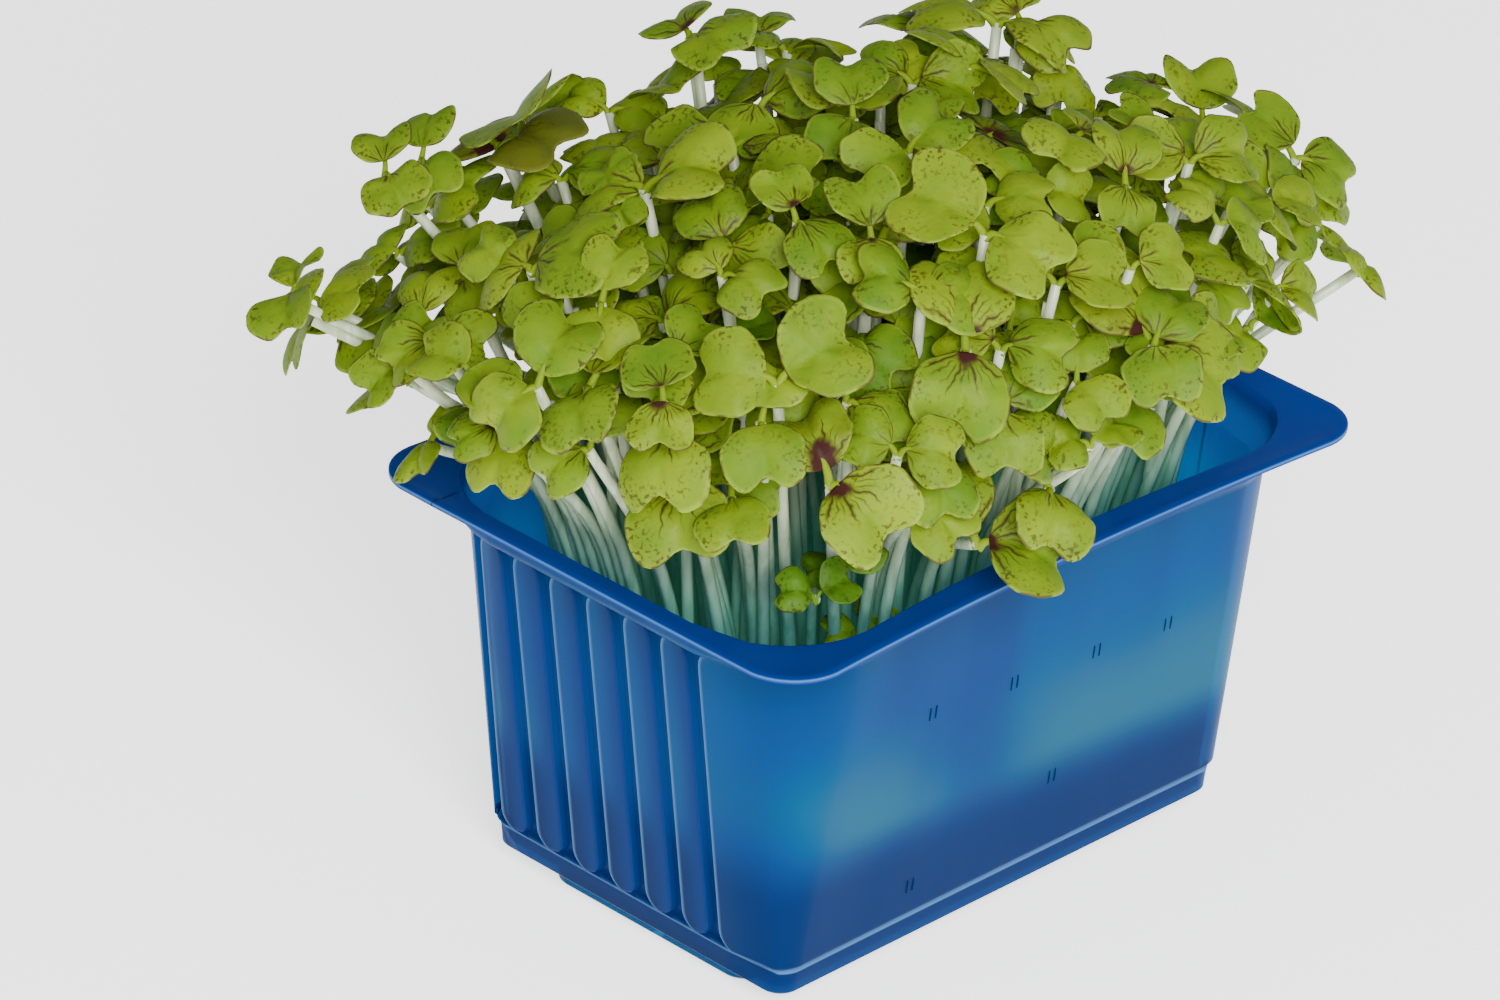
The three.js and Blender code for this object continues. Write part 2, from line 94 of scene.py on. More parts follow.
# %% Mesh helpers
def skin(rings):
    """Rings of equal length, joined by quads, with a fan to the middle of the first and the last."""
    rings = np.asarray(rings, float)
    rows, count, width = rings.shape
    grid = np.arange(rows * count).reshape(rows, count)
    after = np.roll(grid, -1, axis=1)
    quads = np.stack([grid[:-1], after[:-1], after[1:], grid[1:]], axis=-1).reshape(-1, 4)
    first = np.stack([np.full(count, rows * count), after[0], grid[0]], axis=1)
    last = np.stack([np.full(count, rows * count + 1), grid[-1], after[-1]], axis=1)
    middles = rings[[0, -1]].mean(axis=1)
    return np.concatenate([rings.reshape(-1, width), middles]), [quads, first, last]


def make_object(name, points, faces, material, sharp_angle=None):
    """A mesh from an array of points (mm) and a list of face arrays, each with 3 or 4 columns."""
    mesh = bpy.data.meshes.new(name)
    sizes = np.concatenate([np.full(len(part), part.shape[1]) for part in faces])
    corners = np.concatenate([part.ravel() for part in faces])
    mesh.vertices.add(len(points))
    mesh.vertices.foreach_set("co", (np.asarray(points) * MM).ravel())
    mesh.loops.add(len(corners))
    mesh.loops.foreach_set("vertex_index", corners.astype(np.int32))
    mesh.polygons.add(len(sizes))
    starts = np.concatenate([[0], np.cumsum(sizes)[:-1]])
    mesh.polygons.foreach_set("loop_start", starts.astype(np.int32))
    mesh.update(calc_edges=True)
    mesh.polygons.foreach_set("use_smooth", np.ones(len(sizes), bool))
    if sharp_angle is not None:
        mesh.set_sharp_from_angle(angle=math.radians(sharp_angle))
    mesh.materials.append(material)
    made = bpy.data.objects.new(name, mesh)
    bpy.context.scene.collection.objects.link(made)
    print(name, len(points), "points,", int((sizes - 2).sum()), "triangles")
    return made


def belong(made, slot, *nodes):
    """The piece rides on the one body and stands for some nodes, which it hides; the slot is not used."""
    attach(made, "root")
    if nodes:
        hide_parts(*nodes)


def mix(a, b, t):
    """A blend that is a at t = 0 and b at t = 1."""
    return a + (b - a) * t

# %% [markdown]
# Tools for finishes
#
# A procedural finish is a small tree of nodes. These helpers add one node each and link its inputs,
# so that a finish reads like a formula.

# %% Node helpers
def calc(tree, operation, *values, clamp=False):
    """One Math node, whose inputs are numbers or outputs of other nodes."""
    made = tree.nodes.new("ShaderNodeMath")
    made.operation = operation
    made.use_clamp = clamp
    for socket, value in zip(made.inputs, values):
        if isinstance(value, (int, float)):
            socket.default_value = value
        else:
            tree.links.new(value, socket)
    return made.outputs[0]


def ramp(tree, value, low, high, start=0.0, end=1.0):
    """A smooth step from `start` at `low` to `end` at `high`."""
    made = tree.nodes.new("ShaderNodeMapRange")
    made.interpolation_type = "SMOOTHSTEP"
    for name, number in (("From Min", low), ("From Max", high), ("To Min", start), ("To Max", end)):
        made.inputs[name].default_value = number
    tree.links.new(value, made.inputs["Value"])
    return made.outputs["Result"]


def blend(tree, factor, first, second):
    """A mix of two colours, each a triple or an output."""
    made = tree.nodes.new("ShaderNodeMix")
    made.data_type = "RGBA"
    tree.links.new(factor, made.inputs[0])
    for socket, value in ((made.inputs[6], first), (made.inputs[7], second)):
        if isinstance(value, tuple):
            socket.default_value = (*value, 1)
        else:
            tree.links.new(value, socket)
    return made.outputs[2]


def noise(tree, scale, detail=3.0, stretch=(1, 1, 1)):
    """Noise on object coordinates, `scale` cells a metre, finer or coarser along an axis."""
    made = tree.nodes.new("ShaderNodeTexNoise")
    made.inputs["Scale"].default_value = scale
    made.inputs["Detail"].default_value = detail
    coordinates = tree.nodes.new("ShaderNodeTexCoord")
    mapping = tree.nodes.new("ShaderNodeMapping")
    mapping.inputs["Scale"].default_value = stretch
    tree.links.new(coordinates.outputs["Object"], mapping.inputs["Vector"])
    tree.links.new(mapping.outputs["Vector"], made.inputs["Vector"])
    return made.outputs["Fac"]


def height_of(tree, slope=0.0):
    """The height over the floor in metres, plus a slope along x: every piece stands at the origin."""
    coordinates = tree.nodes.new("ShaderNodeTexCoord")
    parts = tree.nodes.new("ShaderNodeSeparateXYZ")
    tree.links.new(coordinates.outputs["Object"], parts.inputs[0])
    return calc(tree, "MULTIPLY_ADD", parts.outputs["X"], slope, parts.outputs["Z"])


def new_material(name, roughness):
    """A material with a Principled shader of this roughness."""
    material = bpy.data.materials.new(name)
    material.use_nodes = True
    tree = material.node_tree
    shader = tree.nodes["Principled BSDF"]
    shader.inputs["Roughness"].default_value = roughness
    return material, tree, shader


def let_light_through(tree, first, kind, colour, share):
    """Mixes a share of a translucent or transparent shader into the surface; a share may vary."""
    second = tree.nodes.new(kind)
    if isinstance(colour, tuple):
        second.inputs["Color"].default_value = (*colour, 1)
    else:
        tree.links.new(colour, second.inputs["Color"])
    both = tree.nodes.new("ShaderNodeMixShader")
    if isinstance(share, float):
        both.inputs[0].default_value = share
    else:
        tree.links.new(share, both.inputs[0])
    tree.links.new(first, both.inputs[1])
    tree.links.new(second.outputs[0], both.inputs[2])
    tree.links.new(both.outputs[0], tree.nodes["Material Output"].inputs["Surface"])
    return both.outputs[0]


def vary_roughness(tree, shader, pattern, low, high):
    """Gloss that changes from spot to spot, between two roughnesses, by a pattern."""
    tree.links.new(ramp(tree, pattern, 0.3, 0.7, low, high), shader.inputs["Roughness"])


def add_bump(tree, shader, height, strength, distance):
    """Fine relief on a surface from a height."""
    bump = tree.nodes.new("ShaderNodeBump")
    bump.inputs["Strength"].default_value = strength
    bump.inputs["Distance"].default_value = distance
    tree.links.new(height, bump.inputs["Height"])
    tree.links.new(bump.outputs["Normal"], shader.inputs["Normal"])


# %% [markdown]
# The purple marks of a seed leaf
#
# On the real leaves, dark purple veins fan out from where the stalk joins and branch on their way,
# some leaves have a stain there, and specks gather near the rim. The leaf's own map gives the
# distance and the direction from the joint, and three painted values say how far a spot is from the
# leaf's middle, how deep its green is, and how purple the leaf is. Two kinds of leaf use this, so it
# is a node group.

# %% Node group for the marks
def split_marks(tree):
    """The painted values of a leaf: nearness to the rim, tint, and purple."""
    attribute = tree.nodes.new("ShaderNodeAttribute")
    attribute.attribute_name = "mark"
    parts = tree.nodes.new("ShaderNodeSeparateColor")
    tree.links.new(attribute.outputs["Color"], parts.inputs[0])
    return parts.outputs["Red"], parts.outputs["Green"], parts.outputs["Blue"]


def rays(tree, angle, turns, distance, thin, wide):
    """Lines that fan out from the joint: thin bands at equal steps of the angle."""
    cycle = calc(tree, "FRACT", calc(tree, "MULTIPLY", angle, turns))
    off = calc(tree, "ABSOLUTE", calc(tree, "SUBTRACT", cycle, 0.5))
    width = ramp(tree, distance, 0.0, 0.6, wide, thin)
    return calc(tree, "SUBTRACT", 1.0, calc(tree, "DIVIDE", off, width), clamp=True)


def marks_group():
    """Veins fan out and fade with distance, a stain fills the joint, specks sit near the rim, and a band
    along the rim is given for a painted highlight.
    """
    group = bpy.data.node_groups.new("leaf_marks", "ShaderNodeTree")
    for name in ("Purple", "RimHighlight"):
        group.interface.new_socket(name, in_out="OUTPUT", socket_type="NodeSocketFloat")
    output = group.nodes.new("NodeGroupOutput")
    uv = group.nodes.new("ShaderNodeUVMap")
    uv.uv_map = "leaf"
    split = group.nodes.new("ShaderNodeSeparateXYZ")
    group.links.new(uv.outputs[0], split.inputs[0])
    near_rim, _, purple = split_marks(group)
    along = split.outputs["X"]
    across = calc(group, "MULTIPLY", split.outputs["Y"], 0.65)
    wander = calc(group, "MULTIPLY_ADD", noise(group, 380, 2), 0.5, -0.25)
    angle = calc(group, "ADD", calc(group, "ARCTAN2", across, calc(group, "ADD", along, 0.03)), wander)
    squares = calc(group, "MULTIPLY_ADD", across, across, calc(group, "MULTIPLY", along, along))
    distance = calc(group, "SQRT", squares)
    patchy = noise(group, 240, 3)
    near = calc(group, "ADD", distance, calc(group, "MULTIPLY_ADD", patchy, 0.7, -0.35))
    reach = calc(group, "SUBTRACT", near, calc(group, "MULTIPLY", purple, 0.35))
    main = rays(group, angle, 1.45, distance, 0.05, 0.26)
    fine = rays(group, angle, 4.35, distance, 0.16, 0.3)
    fine = calc(group, "MULTIPLY", fine, ramp(group, distance, 0.12, 0.3))
    main = calc(group, "MULTIPLY", main, ramp(group, reach, 0.12, 0.34, 1, 0))
    fine = calc(group, "MULTIPLY", fine, ramp(group, reach, 0.0, 0.26, 0.8, 0))
    stain = ramp(group, reach, -0.24, -0.05, 1, 0)
    veins = calc(group, "MAXIMUM", calc(group, "MAXIMUM", main, fine), stain)
    veins = calc(group, "MULTIPLY", veins, ramp(group, purple, 0.05, 0.4))
    grain = ramp(group, noise(group, 1500, 1), 0.52, 0.66)
    specks = calc(group, "MULTIPLY", grain, ramp(group, near_rim, 0.1, 0.95, 0.0, 0.75))
    specks = calc(group, "MULTIPLY", specks, ramp(group, patchy, 0.4, 0.6))
    broken = ramp(group, noise(group, 330, 1), 0.45, 0.6)
    rim = calc(group, "MULTIPLY", ramp(group, near_rim, 0.93, 0.99), broken)
    specks = calc(group, "MAXIMUM", specks, calc(group, "MULTIPLY", rim, 0.8))
    mottled = calc(group, "MULTIPLY_ADD", patchy, 0.5, purple)
    blush = ramp(group, mottled, 1.25, 1.6, 0, 0.62)
    both = calc(group, "MAXIMUM", calc(group, "MAXIMUM", veins, specks), blush)
    group.links.new(both, output.inputs["Purple"])
    # The band along the rim where the leaf finish paints a pale highlight.
    group.links.new(ramp(group, near_rim, 0.9, 0.98), output.inputs["RimHighlight"])
    return group


LEAF_MARKS = marks_group()

# %% [markdown]
# Leaf finishes
#
# A seed leaf is a satin yellow-green, clouded and deeper here and there, with a painted pale highlight
# along its rim, and light shines through it. The low leaves, down in the shade, take a copy of the
# finish in a plain deeper green, which is painted shade.

# %% Leaf materials
def leaf_material(name, light, deep, painted_rim_highlight, purple):
    """A leaf's finish from four colours: two greens, a painted highlight for the rim and the purple of the
    marks.
    """
    material, tree, shader = new_material(name, 0.5)
    marks = tree.nodes.new("ShaderNodeGroup")
    marks.node_tree = LEAF_MARKS
    # The painted green: each leaf's own tone, plus painted shade on the underside and on leaves low in the
    # crop.
    _, tint, _ = split_marks(tree)
    clouds = noise(tree, 170, 2)
    cloud = calc(tree, "MULTIPLY_ADD", clouds, 1.1, -0.55)
    green = blend(tree, calc(tree, "ADD", tint, cloud, clamp=True), light, deep)
    # Painted highlight: a pale band along the leaf's rim.
    green = blend(tree, calc(tree, "MULTIPLY", marks.outputs["RimHighlight"], 0.45), green, painted_rim_highlight)
    colour = blend(tree, marks.outputs["Purple"], green, purple)
    tree.links.new(colour, shader.inputs["Base Color"])
    shader.inputs["Specular IOR Level"].default_value = 0.15
    vary_roughness(tree, shader, clouds, 0.44, 0.56)
    add_bump(tree, shader, noise(tree, 1300, 2), 0.3, 0.0003)
    let_light_through(tree, shader.outputs[0], "ShaderNodeBsdfTranslucent", colour, 0.38)
    return material


LEAF = leaf_material(
    "leaf", light=(0.235, 0.335, 0.010), deep=(0.066, 0.18, 0.006),
    painted_rim_highlight=(0.36, 0.46, 0.045), purple=(0.05, 0.014, 0.01),
)
# The low leaves take a darker copy of the leaf finish: painted shade.
SHADED_LOW_LEAF = leaf_material(
    "low_leaf_painted_shade", light=(0.12, 0.26, 0.008), deep=(0.04, 0.12, 0.004),
    painted_rim_highlight=(0.18, 0.3, 0.03), purple=(0.03, 0.02, 0.01),
)

# %% [markdown]
# Stems, roots, mat and hulls
#
# The stems are pale and a little glassy, whiter in streaks along their length. Down in the tray their
# colour is painted a darker teal, for the shade and the blue light there: painted shade and painted
# light. A faint painted glow stands for the light that the clear wall lets in. The felt of roots and
# the mat are fibrous and matte. Seed hulls are brown.

# %% Plain plant materials
STEM, tree, shader = new_material("stem", 0.32)
streaks = noise(tree, 800, 2, (1, 1, 0.12))
pale = blend(tree, ramp(tree, streaks, 0.3, 0.7), (0.72, 0.77, 0.55), (0.48, 0.57, 0.34))
# Below the rim: a darker teal, painted shade and painted blue light inside the tray.
painted_shade_in_tray = blend(tree, ramp(tree, streaks, 0.3, 0.7), (0.13, 0.34, 0.24), (0.07, 0.24, 0.16))
stem_colour = blend(tree, ramp(tree, height_of(tree), 0.054, 0.084), painted_shade_in_tray, pale)
tree.links.new(stem_colour, shader.inputs["Base Color"])
# Painted glow below the rim, for the light that comes in through the clear wall.
shader.inputs["Emission Color"].default_value = (0.03, 0.21, 0.14, 1)
tree.links.new(ramp(tree, height_of(tree), 0.078, 0.050, 0.0, 0.2), shader.inputs["Emission Strength"])
vary_roughness(tree, shader, streaks, 0.26, 0.38)
add_bump(tree, shader, streaks, 0.15, 0.0003)
let_light_through(tree, shader.outputs[0], "ShaderNodeBsdfTranslucent", stem_colour, 0.35)


def fibrous(name, dark, light, cells):
    """A matte finish of two colours in fine threads, `cells` of them a metre, that stand in relief."""
    material, tree, shader = new_material(name, 0.9)
    threads = noise(tree, cells, 6)
    tree.links.new(blend(tree, ramp(tree, threads, 0.3, 0.7), dark, light), shader.inputs["Base Color"])
    vary_roughness(tree, shader, threads, 0.96, 0.84)
    add_bump(tree, shader, threads, 0.8, 0.001)
    return material


PEAT = fibrous("peat", (0.012, 0.018, 0.02), (0.09, 0.08, 0.06), 700)
FELT = fibrous("felt", (0.10, 0.13, 0.09), (0.45, 0.50, 0.36), 1200)
HULL = fibrous("hull", (0.03, 0.012, 0.008), (0.16, 0.07, 0.03), 900)

# %% [markdown]
# Blue plastic
#
# The punnet is thin-walled and clear blue. Painted light stands for what is seen through the wall:
# soft painted light bands for the stems behind it, and a painted dark band low down for the mat. The
# finish mixes a glossy blue surface, light that scatters through, and a clear blue tint. Height sets
# the bands, and a painted value adds painted highlights along the edges, painted shade across the pads
# and a painted glow low on the inner wall.

# %% Blue plastic material
BLUE, tree, shader = new_material("blue_plastic", 0.33)
height = height_of(tree)
painted = tree.nodes.new("ShaderNodeAttribute")
painted.attribute_name = "painted_light"
paint_parts = tree.nodes.new("ShaderNodeSeparateXYZ")
tree.links.new(painted.outputs["Vector"], paint_parts.inputs[0])
edge = paint_parts.outputs["X"]
streaks = noise(tree, 70, 1, (1, 1, 0.12))
patches = noise(tree, 24, 1, (1, 1, 0.8))
# Painted light: soft vertical bands, for the stems seen through the wall.
blue = blend(tree, ramp(tree, streaks, 0.35, 0.65), (0.0, 0.038, 0.145), (0.0, 0.058, 0.18))
# Painted light in patches where the stems stand behind the wall, above the line of the mat.
mat_line = height_of(tree, 0.048)
zone = calc(tree, "MULTIPLY", ramp(tree, mat_line, 0.018, 0.027), ramp(tree, height, 0.050, 0.028))
painted_light_behind = calc(tree, "MULTIPLY", zone, ramp(tree, patches, 0.36, 0.6))
blue = blend(tree, painted_light_behind, blue, (0.012, 0.12, 0.165))
# Painted shade: darker below the line of the dark mat behind the wall.
blue = blend(tree, ramp(tree, mat_line, 0.027, 0.016), blue, (0.0, 0.014, 0.056))
# Painted shade towards one side of every pad.
blue = blend(tree, ramp(tree, edge, 0.1, -1.0), blue, (0.0, 0.022, 0.11))
blue = blend(tree, ramp(tree, height, 0.0605, 0.0635), blue, (0.0, 0.031, 0.225))
# Painted glow low on the inside of the wall, for light that comes through the far wall.
painted_glow_inside = calc(tree, "MULTIPLY", paint_parts.outputs["Y"], ramp(tree, height, 0.058, 0.045))
blue = blend(tree, painted_glow_inside, blue, (0.0, 0.40, 0.70))
# Painted highlights along the pads' grooves, the plinth and the flange's rim.
tree.links.new(blend(tree, ramp(tree, edge, 0.0, 1.0), blue, (0.11, 0.29, 0.56)), shader.inputs["Base Color"])
shader.inputs["Specular IOR Level"].default_value = 0.07
flow = noise(tree, 90, 1, (1, 1, 0.35))
vary_roughness(tree, shader, flow, 0.28, 0.38)
add_bump(tree, shader, flow, 0.3, 0.0004)
body = let_light_through(tree, shader.outputs[0], "ShaderNodeBsdfTranslucent", (0.0, 0.12, 0.38), 0.25)
clearness = ramp(tree, height, 0.0585, 0.0635, 0.28, 0.06)
let_light_through(tree, body, "ShaderNodeBsdfTransparent", (0.01, 0.45, 0.85), clearness)
print("finishes:", ", ".join(m.name for m in bpy.data.materials))

# %% [markdown]
# The tray
#
# The punnet has one thin wall. Its short sides carry raised pads with narrow grooves between them,
# its long sides bow in a little, and a wide flange with rounded corners runs round the top. It is
# made as a profile of levels: each level is a rounded rectangle at its own height, from the foot up
# the outside, over the flange and down the inside, so one closed skin has its real thickness.

# %% Sizes of the tray in millimetres: half length, half width, corner radius
HEIGHT = 65.0
SKIN = 0.9
SIDE_BOW = 1.8
FOOT = np.array([43.3, 20.5, 4.0])
PLINTH = np.array([45.6, 29.9, 3.5])
PANEL_LOW = np.array([47.2, 30.9, 5.0])
PANEL_HIGH = np.array([54.0, 36.8, 15.5])
PANEL_Z = (8.1, 58.6)
INSIDE_LOW = 7.2
SHOULDER = np.array([56.2, 37.9, 17.0])
FLANGE = np.array([60.0, 43.6, 9.0])
STRIP_END = 28.9
RELIEF = 1.2
PAD_CORNER = 2.6
GROOVE_CENTRES = 4.6 + 7.55 * np.arange(3, -4, -1)
GROOVE_HALF = 0.75
GROOVE_PROFILE = np.array([(1.1, 0.0), (0.5, 0.0), (0.32, 0.07), (0.15, 0.5), (0.0, 0.93), (-0.25, 1.0)])
GROOVE_COUNT = len(GROOVE_CENTRES)
# Painted light across each groove and pad: highlights above 0, painted shade below 0.
GROOVE_LIGHT_AND_SHADE = np.array([-0.9, -0.9, -0.7, -0.5, -0.3, -0.2, -0.2, 0.0, 0.3, 0.9, 0.6, 0.1])
ARC_STEPS = 12
SIDE_STEPS = 24


# %% One level of the tray
def inset(box, by):
    """The box drawn in on every side, with its corners still round."""
    return np.array([box[0] - by, box[1] - by, max(box[2] - by, 1.2)])


def panel_box(z):
    """The wall's box at a height: the low box and the high box blended by height."""
    return mix(PANEL_LOW, PANEL_HIGH, (z - PANEL_Z[0]) / (PANEL_Z[1] - PANEL_Z[0]))


def groove_stops(widen):
    """Places down a short side and how deep each lies: every groove has its profile twice, mirrored."""
    off = GROOVE_HALF + np.minimum(widen + GROOVE_PROFILE[:, 0], 3.0)
    places = np.concatenate([off, -off[::-1]])
    depths = np.concatenate([GROOVE_PROFILE[:, 1], GROOVE_PROFILE[::-1, 1]])
    y = (GROOVE_CENTRES[:, None] + places).ravel()
    depths = np.concatenate([[0], np.tile(depths, GROOVE_COUNT), [0]])
    return np.concatenate([[STRIP_END], y, [-STRIP_END]]), depths


def level(box, z, depth=0.0, widen=0.0, painted_highlight=0.0):
    """A rounded rectangle: arcs at the corners, bowed long sides, short sides cut in at the grooves.

    The fourth column is painted light: 1 where a highlight is painted along an edge, as along one side
    of every groove, and below 0 where shade is painted, as towards the other side of every pad."""
    half_l, half_w, radius = box
    bow = SIDE_BOW * min(max(z / HEIGHT, 0), 1)
    corner_x = half_l - radius
    corner_y = half_w - radius
    fit = corner_y / STRIP_END if half_w - 0.3 * radius < STRIP_END else 1.0
    y, into = groove_stops(widen)
    y = y * fit
    past = np.maximum(np.abs(y) - corner_y, 0)
    side_x = corner_x + np.sqrt(np.maximum(radius ** 2 - past ** 2, 0)) - depth * into
    start = math.asin(min(max((STRIP_END * fit - corner_y) / radius, 0), 1))
    angle = np.linspace(start, math.pi / 2, ARC_STEPS + 1)[1:]
    arc = np.stack([corner_x + radius * np.cos(angle), corner_y + radius * np.sin(angle)], axis=1)
    x = np.linspace(1, -1, SIDE_STEPS + 1)[1:-1]
    long_side = np.stack([x * corner_x, half_w - bow * (1 - x * x)], axis=1)
    short_side = np.stack([side_x, y], axis=1)
    ring = np.concatenate([
        arc, long_side, (arc * (-1, 1))[::-1], short_side * (-1, 1),
        arc * (-1, -1), long_side * (-1, -1), (arc * (1, -1))[::-1], short_side[::-1],
    ])
    # Painted highlights and painted shade across the grooves and pads.
    groove_light_and_shade = np.concatenate([[0], np.tile(GROOVE_LIGHT_AND_SHADE, GROOVE_COUNT), [0]]) * (depth > 0)
    plain = np.zeros(len(arc) * 2 + len(long_side))
    painted_light = np.concatenate([plain, groove_light_and_shade, plain, groove_light_and_shade[::-1]])
    return np.column_stack([ring, np.full(len(ring), z), np.where(painted_light == 0, painted_highlight, painted_light)])


# %% [markdown]
# The pads end in rounded corners at the bottom and the top. Towards each end the grooves widen along
# a quarter circle, which rounds every pad at once.

# %% The whole skin
def pad_level(z, end, share):
    """A level of the pads, `end` millimetres from where they end; grooves widen as a circle does."""
    t = min(end / PAD_CORNER, 1)
    widen = share * PAD_CORNER * (1 - math.sqrt(1 - (1 - t) ** 2))
    return level(panel_box(z), z, RELIEF, widen)


def tray_rings():
    """Every level of the profile, up the outside, over the flange and down the inside."""
    plinth_top = inset(PLINTH, -0.4)
    low, high = PANEL_Z
    ends = PAD_CORNER * np.array([0, 0.1, 0.28, 0.5, 0.75, 1])
    rings = [
        level(inset(FOOT, 0.5), 0.0), level(FOOT, 0.5), level(FOOT, 3.0),
        level(inset(PLINTH, 0.4), 3.0), level(PLINTH, 3.4),
        # Painted highlights along the plinth's top edge and the ledge above it.
        level(mix(PLINTH, plinth_top, 0.9), 6.55), level(plinth_top, 6.9, painted_highlight=0.8),
        level(inset(plinth_top, 0.3), 7.2, painted_highlight=0.7), level(inset(panel_box(low), RELIEF), 7.3, painted_highlight=0.4),
        level(inset(panel_box(low), 0.35), 7.7, painted_highlight=0.4),
    ]
    rings += [pad_level(low + end, end, 0.85) for end in ends]
    rings += [pad_level(z, PAD_CORNER, 0) for z in np.linspace(low + PAD_CORNER, high - PAD_CORNER, 8)[1:-1]]
    rings += [pad_level(high - end, end, 0.5) for end in ends[::-1]]
    rings += [
        level(inset(SHOULDER, 0.7), 59.5), level(inset(SHOULDER, 0.15), 60.1), level(SHOULDER, 60.8),
        level(SHOULDER, 63.0), level(inset(SHOULDER, -0.3), 63.8), level(inset(SHOULDER, -0.9), 64.1),
        # Painted highlight along the flange's rim.
        level(inset(FLANGE, 0.3), 64.1), level(FLANGE, 64.3), level(FLANGE, 64.85, painted_highlight=0.6),
        level(inset(FLANGE, 0.25), 65.0), level(inset(FLANGE, 1.4), 65.0), level(inset(FLANGE, 1.9), 64.8),
    ]
    mouth = inset(SHOULDER, SKIN)
    rings += [
        level(inset(mouth, -1.7), 64.8), level(inset(mouth, -0.7), 64.6), level(inset(mouth, -0.2), 64.0),
        level(mouth, 63.0), level(mouth, 61.2), level(inset(mouth, 0.8), 60.0),
    ]
    base = inset(PLINTH, SKIN)
    top = inset(panel_box(high), RELIEF + SKIN)
    rings += [level(mix(base, top, t), mix(INSIDE_LOW, high, t)) for t in (1, 0.75, 0.5, 0.25, 0)]
    rings += [level(base, 3.9), level(inset(FOOT, SKIN), 3.9), level(inset(FOOT, SKIN), 0.9)]
    return rings


INNER_LEVEL = 45
SHARP_ANGLE = 38
points, faces = skin(tray_rings())
tray = make_object("tray_skin", points[:, :3], faces, BLUE, SHARP_ANGLE)
# Painted light on the tray: the first value paints highlights and shade, the second marks the inner wall for
# a painted glow.
painted_light = tray.data.attributes.new("painted_light", "FLOAT_VECTOR", "POINT")
inside = np.arange(len(points)) >= INNER_LEVEL * len(level(FLANGE, HEIGHT))
inside[-2] = False  # the middle of the fan under the foot is outside
painted_light.data.foreach_set("vector", np.column_stack([points[:, 3], inside, inside * 0]).ravel())
belong(tray, "blue_plastic", "tray")

# %% [markdown]
# The mould left pairs of short upright ticks on the long wall. Each is a thin bar with its back sunk
# in the wall, which follows the wall's slope and bow.

# %% Moulding ticks
TICKS = [(-20.9, 42.8), (-3.6, 41.0), (13.6, 39.8), (28.4, 38.9), (7.5, 20.4), (-20.9, 12.9)]
TICK_HALF_HEIGHT = 1.1
TICK_HALF_WIDTH = 0.13
TICK_GAP = 0.6
TICK_PROUD = 0.07
TICK_ROOT = 0.3
TICK, tree, shader = new_material("tick", 0.9)
# Painted shade: the ticks are a darker blue than the wall, for the thin dark lines along these low ridges.
shader.inputs["Base Color"].default_value = (0.0, 0.014, 0.055, 1)
shader.inputs["Specular IOR Level"].default_value = 0.0
grit = noise(tree, 900, 2)
vary_roughness(tree, shader, grit, 0.8, 0.95)
add_bump(tree, shader, grit, 0.2, 0.0002)


def tick(x, z):
    """Five four-cornered rings up the wall, proudest in the middle, by a square law."""
    rings = []
    for step in np.linspace(-1, 1, 5):
        at = z + step * TICK_HALF_HEIGHT
        half_l, half_w, radius = panel_box(at)
        wall = -half_w + SIDE_BOW * at / HEIGHT * (1 - (x / (half_l - radius)) ** 2)
        out = wall - TICK_PROUD * (1 - 0.8 * step * step)
        left, right = x - TICK_HALF_WIDTH, x + TICK_HALF_WIDTH
        back = wall + TICK_ROOT
        rings.append([(left, out, at), (right, out, at), (right, back, at), (left, back, at)])
    return skin(rings)


tick_points, tick_faces = [], []
for x, z in TICKS:
    for side in (-1, 1):
        points, faces = tick(x + side * TICK_GAP, z)
        tick_faces += [part + sum(map(len, tick_points)) for part in faces]
        tick_points.append(points)
belong(make_object("moulding_ticks", np.concatenate(tick_points), tick_faces, TICK), "blue_plastic")

# %% [markdown]
# The growing mat and the felt of roots
#
# A pad of dark fibre fills the bottom. Its top swells and sinks by a wave over x and y. The felt of
# roots lies on it with the same swell, so the two never cross.

# %% Mat and felt
MAT_TOP = 21.0
GAP = 0.3
FELT_HEIGHT = 2.4


def mat_swell(x, y):
    """A gentle wave: one hump pattern minus a finer one."""
    return np.sin(x / 15 + 0.8) * np.cos(y / 12) - 0.8 * np.sin(x / 9) * np.sin(y / 14 + 0.5)


def cavity_level(z, shrink, swell):
    """A level of the tray's inside, drawn in by a share, its height following the swell."""
    t = min(max((z - 4 * swell - INSIDE_LOW) / (PANEL_Z[1] - INSIDE_LOW), 0), 1)
    box = mix(inset(PLINTH, SKIN + GAP), inset(panel_box(PANEL_Z[1]), RELIEF + SKIN + GAP), t)
    ring = level(box, z)[:, :3]
    ring[:, :2] *= shrink
    ring[:, 2] += swell * mat_swell(ring[:, 0], ring[:, 1])
    return ring


FADE = (0.95, 0.88, 0.8, 0.7, 0.6, 0.5, 0.4, 0.3, 0.2, 0.1)
mat_sides = [(4.2, 0.5, 0), (4.2, 0.985, 0), (5.2, 1, 0), (INSIDE_LOW, 1, 0)]
mat_sides += [(MAT_TOP - 3, 1, 1), (MAT_TOP - 0.4, 0.99, 1)]
mat_rings = [cavity_level(*side) for side in mat_sides]
mat_rings += [cavity_level(MAT_TOP, share, 1) for share in (0.975, *FADE)]
points, faces = skin(mat_rings)
belong(make_object("mat", points, faces, PEAT), "peat", "growing_mat")

